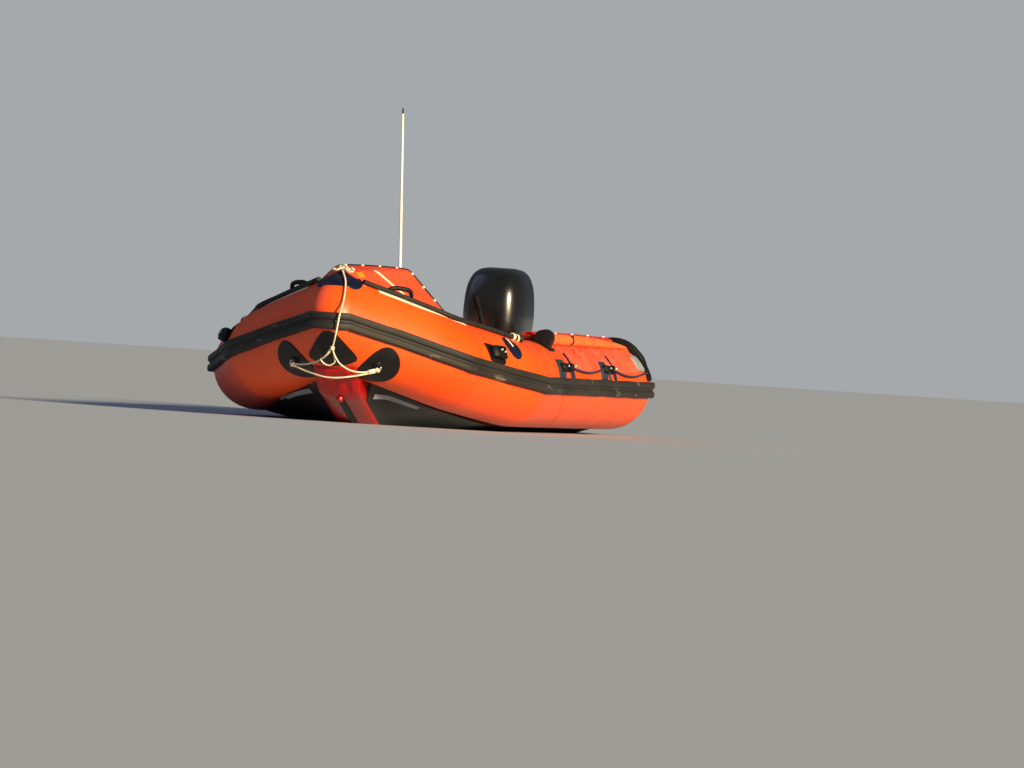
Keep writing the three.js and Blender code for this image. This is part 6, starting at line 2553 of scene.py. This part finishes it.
    def tiller(self) -> None:
        """Builds the tiller: boss, handle and ribbed grip."""
        pivot = Vector(self.tiller_pivot)
        level, rise = polar(self.tiller_rise)
        way = Vector((level, 0, rise))
        boss = rod(pivot - ABEAM * 0.024, pivot + ABEAM * 0.024, 0.02, sides=28)
        line = [pivot + way * run for run in (0.0, 0.05, 0.16, 0.25, 0.33)]
        handle = joined(boss, hose(line, lambda share: 0.018 - 0.004 * share, 24))
        install("tiller_handle", handle, ENGINE_CASTING, ["tiller"], 35, "tiller")
        ribs = [(run + rib * 0.009, radius) for rib in range(11) for run, radius in self.grip_rib]
        grip = lathed(pivot, way, [*self.grip_start, *ribs, *self.grip_end], 28)
        install("tiller_grip", grip, MOULDED_RUBBER, (), 30, "tiller")

    def build(self) -> None:
        """Dresses the cast brackets and builds the engine."""
        dress_node("clamp_bracket", ENGINE_CASTING, 0.003)
        dress_node("swivel_bracket", ENGINE_CASTING, 0.003)
        self.lower_unit()
        self.propeller()
        self.cowling()
        self.tiller()


@dataclass
class Aerial:
    """The whip aerial on its folding mount."""

    foot: Triple = (-1.797, -0.56, 0.6)
    length: float = 1.262
    lean: float = 2.7
    whip_start: float = 0.12
    tip_run: float = 0.034

    def at(self, run: float) -> Vector:
        """Gives a point along the whip."""
        up, aside = polar(self.lean, run)
        return Vector(self.foot) - ABEAM * aside + UP * up

    def build(self) -> None:
        """Builds the whip, its ferrule and tip, and dresses the mount."""
        dress_node("aerial_mount", STAINLESS, 0.002)
        whip_run = self.length - 0.152
        line = [self.at(self.whip_start + whip_run * step / 20) for step in range(21)]
        whip = hose(line, lambda share: 0.0098 - 0.003 * share, 16)
        install("whip_white", whip, FIBREGLASS_WHITE, ["aerial_whip"], body="aerial")
        foot = Vector(self.foot)
        lug = rod(foot - ABEAM * 0.011, foot + ABEAM * 0.011, 0.012, sides=24)
        ferrule = rod(foot, self.at(0.13), 0.011, 0.009, 24)
        install("whip_ferrule", joined(lug, ferrule), STAINLESS, body="aerial")
        tip = rod(self.at(self.length - self.tip_run), self.at(self.length), 0.0052, 0.0044)
        install("whip_tip", tip, MOULDED_RUBBER, body="aerial")


def way_to(azimuth: float, elevation: float) -> Vector:
    """Gives the way to something seen from the boat, from two angles in degrees."""
    level, height = polar(elevation)
    return Vector((*polar(azimuth, level), height))


@dataclass(frozen=True)
class Lamp:
    """A distant lamp: its strength, its width in degrees, its colour and the way to it."""

    name: str
    energy: float
    width: float
    colour: str
    azimuth: float
    elevation: float


@dataclass
class Studio:
    """The camera of the photograph, a pale floor at the waterline and soft light."""

    # A low warm key on the port bow and a cooler fill
    lamps: tuple[Lamp, ...] = (
        Lamp("key", 7.2, 10, "#FFE8BE", 53, 17),
        Lamp("fill", 0.5, 60, "#B4C4F0", -80, 42),
    )
    # The surround's colour and strength, as a light and as it is seen
    sky: tuple[str, float] = ("#BCC8DE", 0.15)
    backdrop: tuple[str, float] = ("#A6A9AB", 1.0)
    floor_colour: str = "#B2BCC9"
    floor_half: float = 150

    def camera(self) -> None:
        """Places the camera so that the boat falls on the photograph's pixels."""
        to_camera = way_to(CAMERA_AZIMUTH, CAMERA_ELEVATION)
        right = UP.cross(to_camera).normalized()
        up = to_camera.cross(right)
        c, s = polar(CAMERA_ROLL)
        rolled_right, rolled_up = right * c + up * s, up * c - right * s
        pixel = CAMERA_DISTANCE * SENSOR_WIDTH / CAMERA_LENS / PHOTO_SIZE[0]
        aim = rolled_right * (PHOTO_SIZE[0] / 2 - ORIGIN_PIXEL[0]) * pixel
        aim -= rolled_up * (PHOTO_SIZE[1] / 2 - ORIGIN_PIXEL[1]) * pixel
        place = to_camera * CAMERA_DISTANCE
        back = (place - aim).normalized()
        side = rolled_up.cross(back).normalized()
        data = bpy.data.cameras.new("camera")
        data.sensor_width = SENSOR_WIDTH
        data.lens = CAMERA_LENS
        data.clip_end = 400
        camera = bpy.data.objects.new("camera", data)
        camera.matrix_world = axes_at(side, back.cross(side), back, place)
        bpy.context.scene.collection.objects.link(camera)
        bpy.context.scene.camera = camera

    def lights(self) -> None:
        """Adds the lamps, and a surround that is dimmer as a light than to the eye."""
        for lamp in self.lamps:
            data = bpy.data.lights.new(lamp.name, "SUN")
            data.energy = lamp.energy
            data.angle = math.radians(lamp.width)
            data.color = linear(lamp.colour)[:3]
            light = bpy.data.objects.new(lamp.name, data)
            light.rotation_euler = way_to(lamp.azimuth, lamp.elevation).to_track_quat("Z", "Y").to_euler()
            bpy.context.scene.collection.objects.link(light)
        world = bpy.data.worlds.new("studio")
        bpy.context.scene.world = world
        world.use_nodes = True
        tree = world.node_tree
        sky, seen = (
            add_node(tree, "ShaderNodeBackground", {"Color": linear(colour), "Strength": strength}).outputs[0]
            for colour, strength in (self.sky, self.backdrop)
        )
        to_eye = add_node(tree, "ShaderNodeLightPath").outputs["Is Camera Ray"]
        mix = add_node(tree, "ShaderNodeMixShader", {}, {0: to_eye, 1: sky, 2: seen}).outputs[0]
        tree.links.new(mix, tree.nodes["World Output"].inputs["Surface"])

    def floor(self) -> None:
        """Lays the plain floor at the waterline, out past the camera."""
        bm = bmesh.new()
        bmesh.ops.create_grid(bm, x_segments=2, y_segments=2, size=self.floor_half)
        mesh = bpy.data.meshes.new("floor")
        bm.to_mesh(mesh)
        bm.free()
        material = bpy.data.materials.new("studio_floor")
        material.use_nodes = True
        shader = material.node_tree.nodes["Principled BSDF"]
        shader.inputs["Base Color"].default_value = linear(self.floor_colour)
        shader.inputs["Roughness"].default_value = 0.7
        mesh.materials.append(material)
        floor = bpy.data.objects.new("floor", mesh)
        bpy.context.scene.collection.objects.link(floor)

    def build(self) -> None:
        """Builds the camera, the lights and the floor, with colours shown as they are lit."""
        bpy.context.scene.view_settings.view_transform = "Standard"
        self.camera()
        self.lights()
        self.floor()


def main() -> None:
    """Builds the boat's sub-assemblies in order."""
    logging.basicConfig(level=logging.INFO, format="%(name)s %(message)s")
    Studio().build()
    tubes = AirTubes()
    tubes.build()
    RubbingStrake().build()
    Bottom().build()
    Deck().build()
    Transom().build()
    for trim in (Dodger, TubeTrim, Stowage, SideGrips, BowFittings):
        trim(tubes.skin).build()
    for fitting in (TowRopes(), FuelBag(), Engine(), Aerial()):
        fitting.build()


if __name__ == "__main__":
    main()
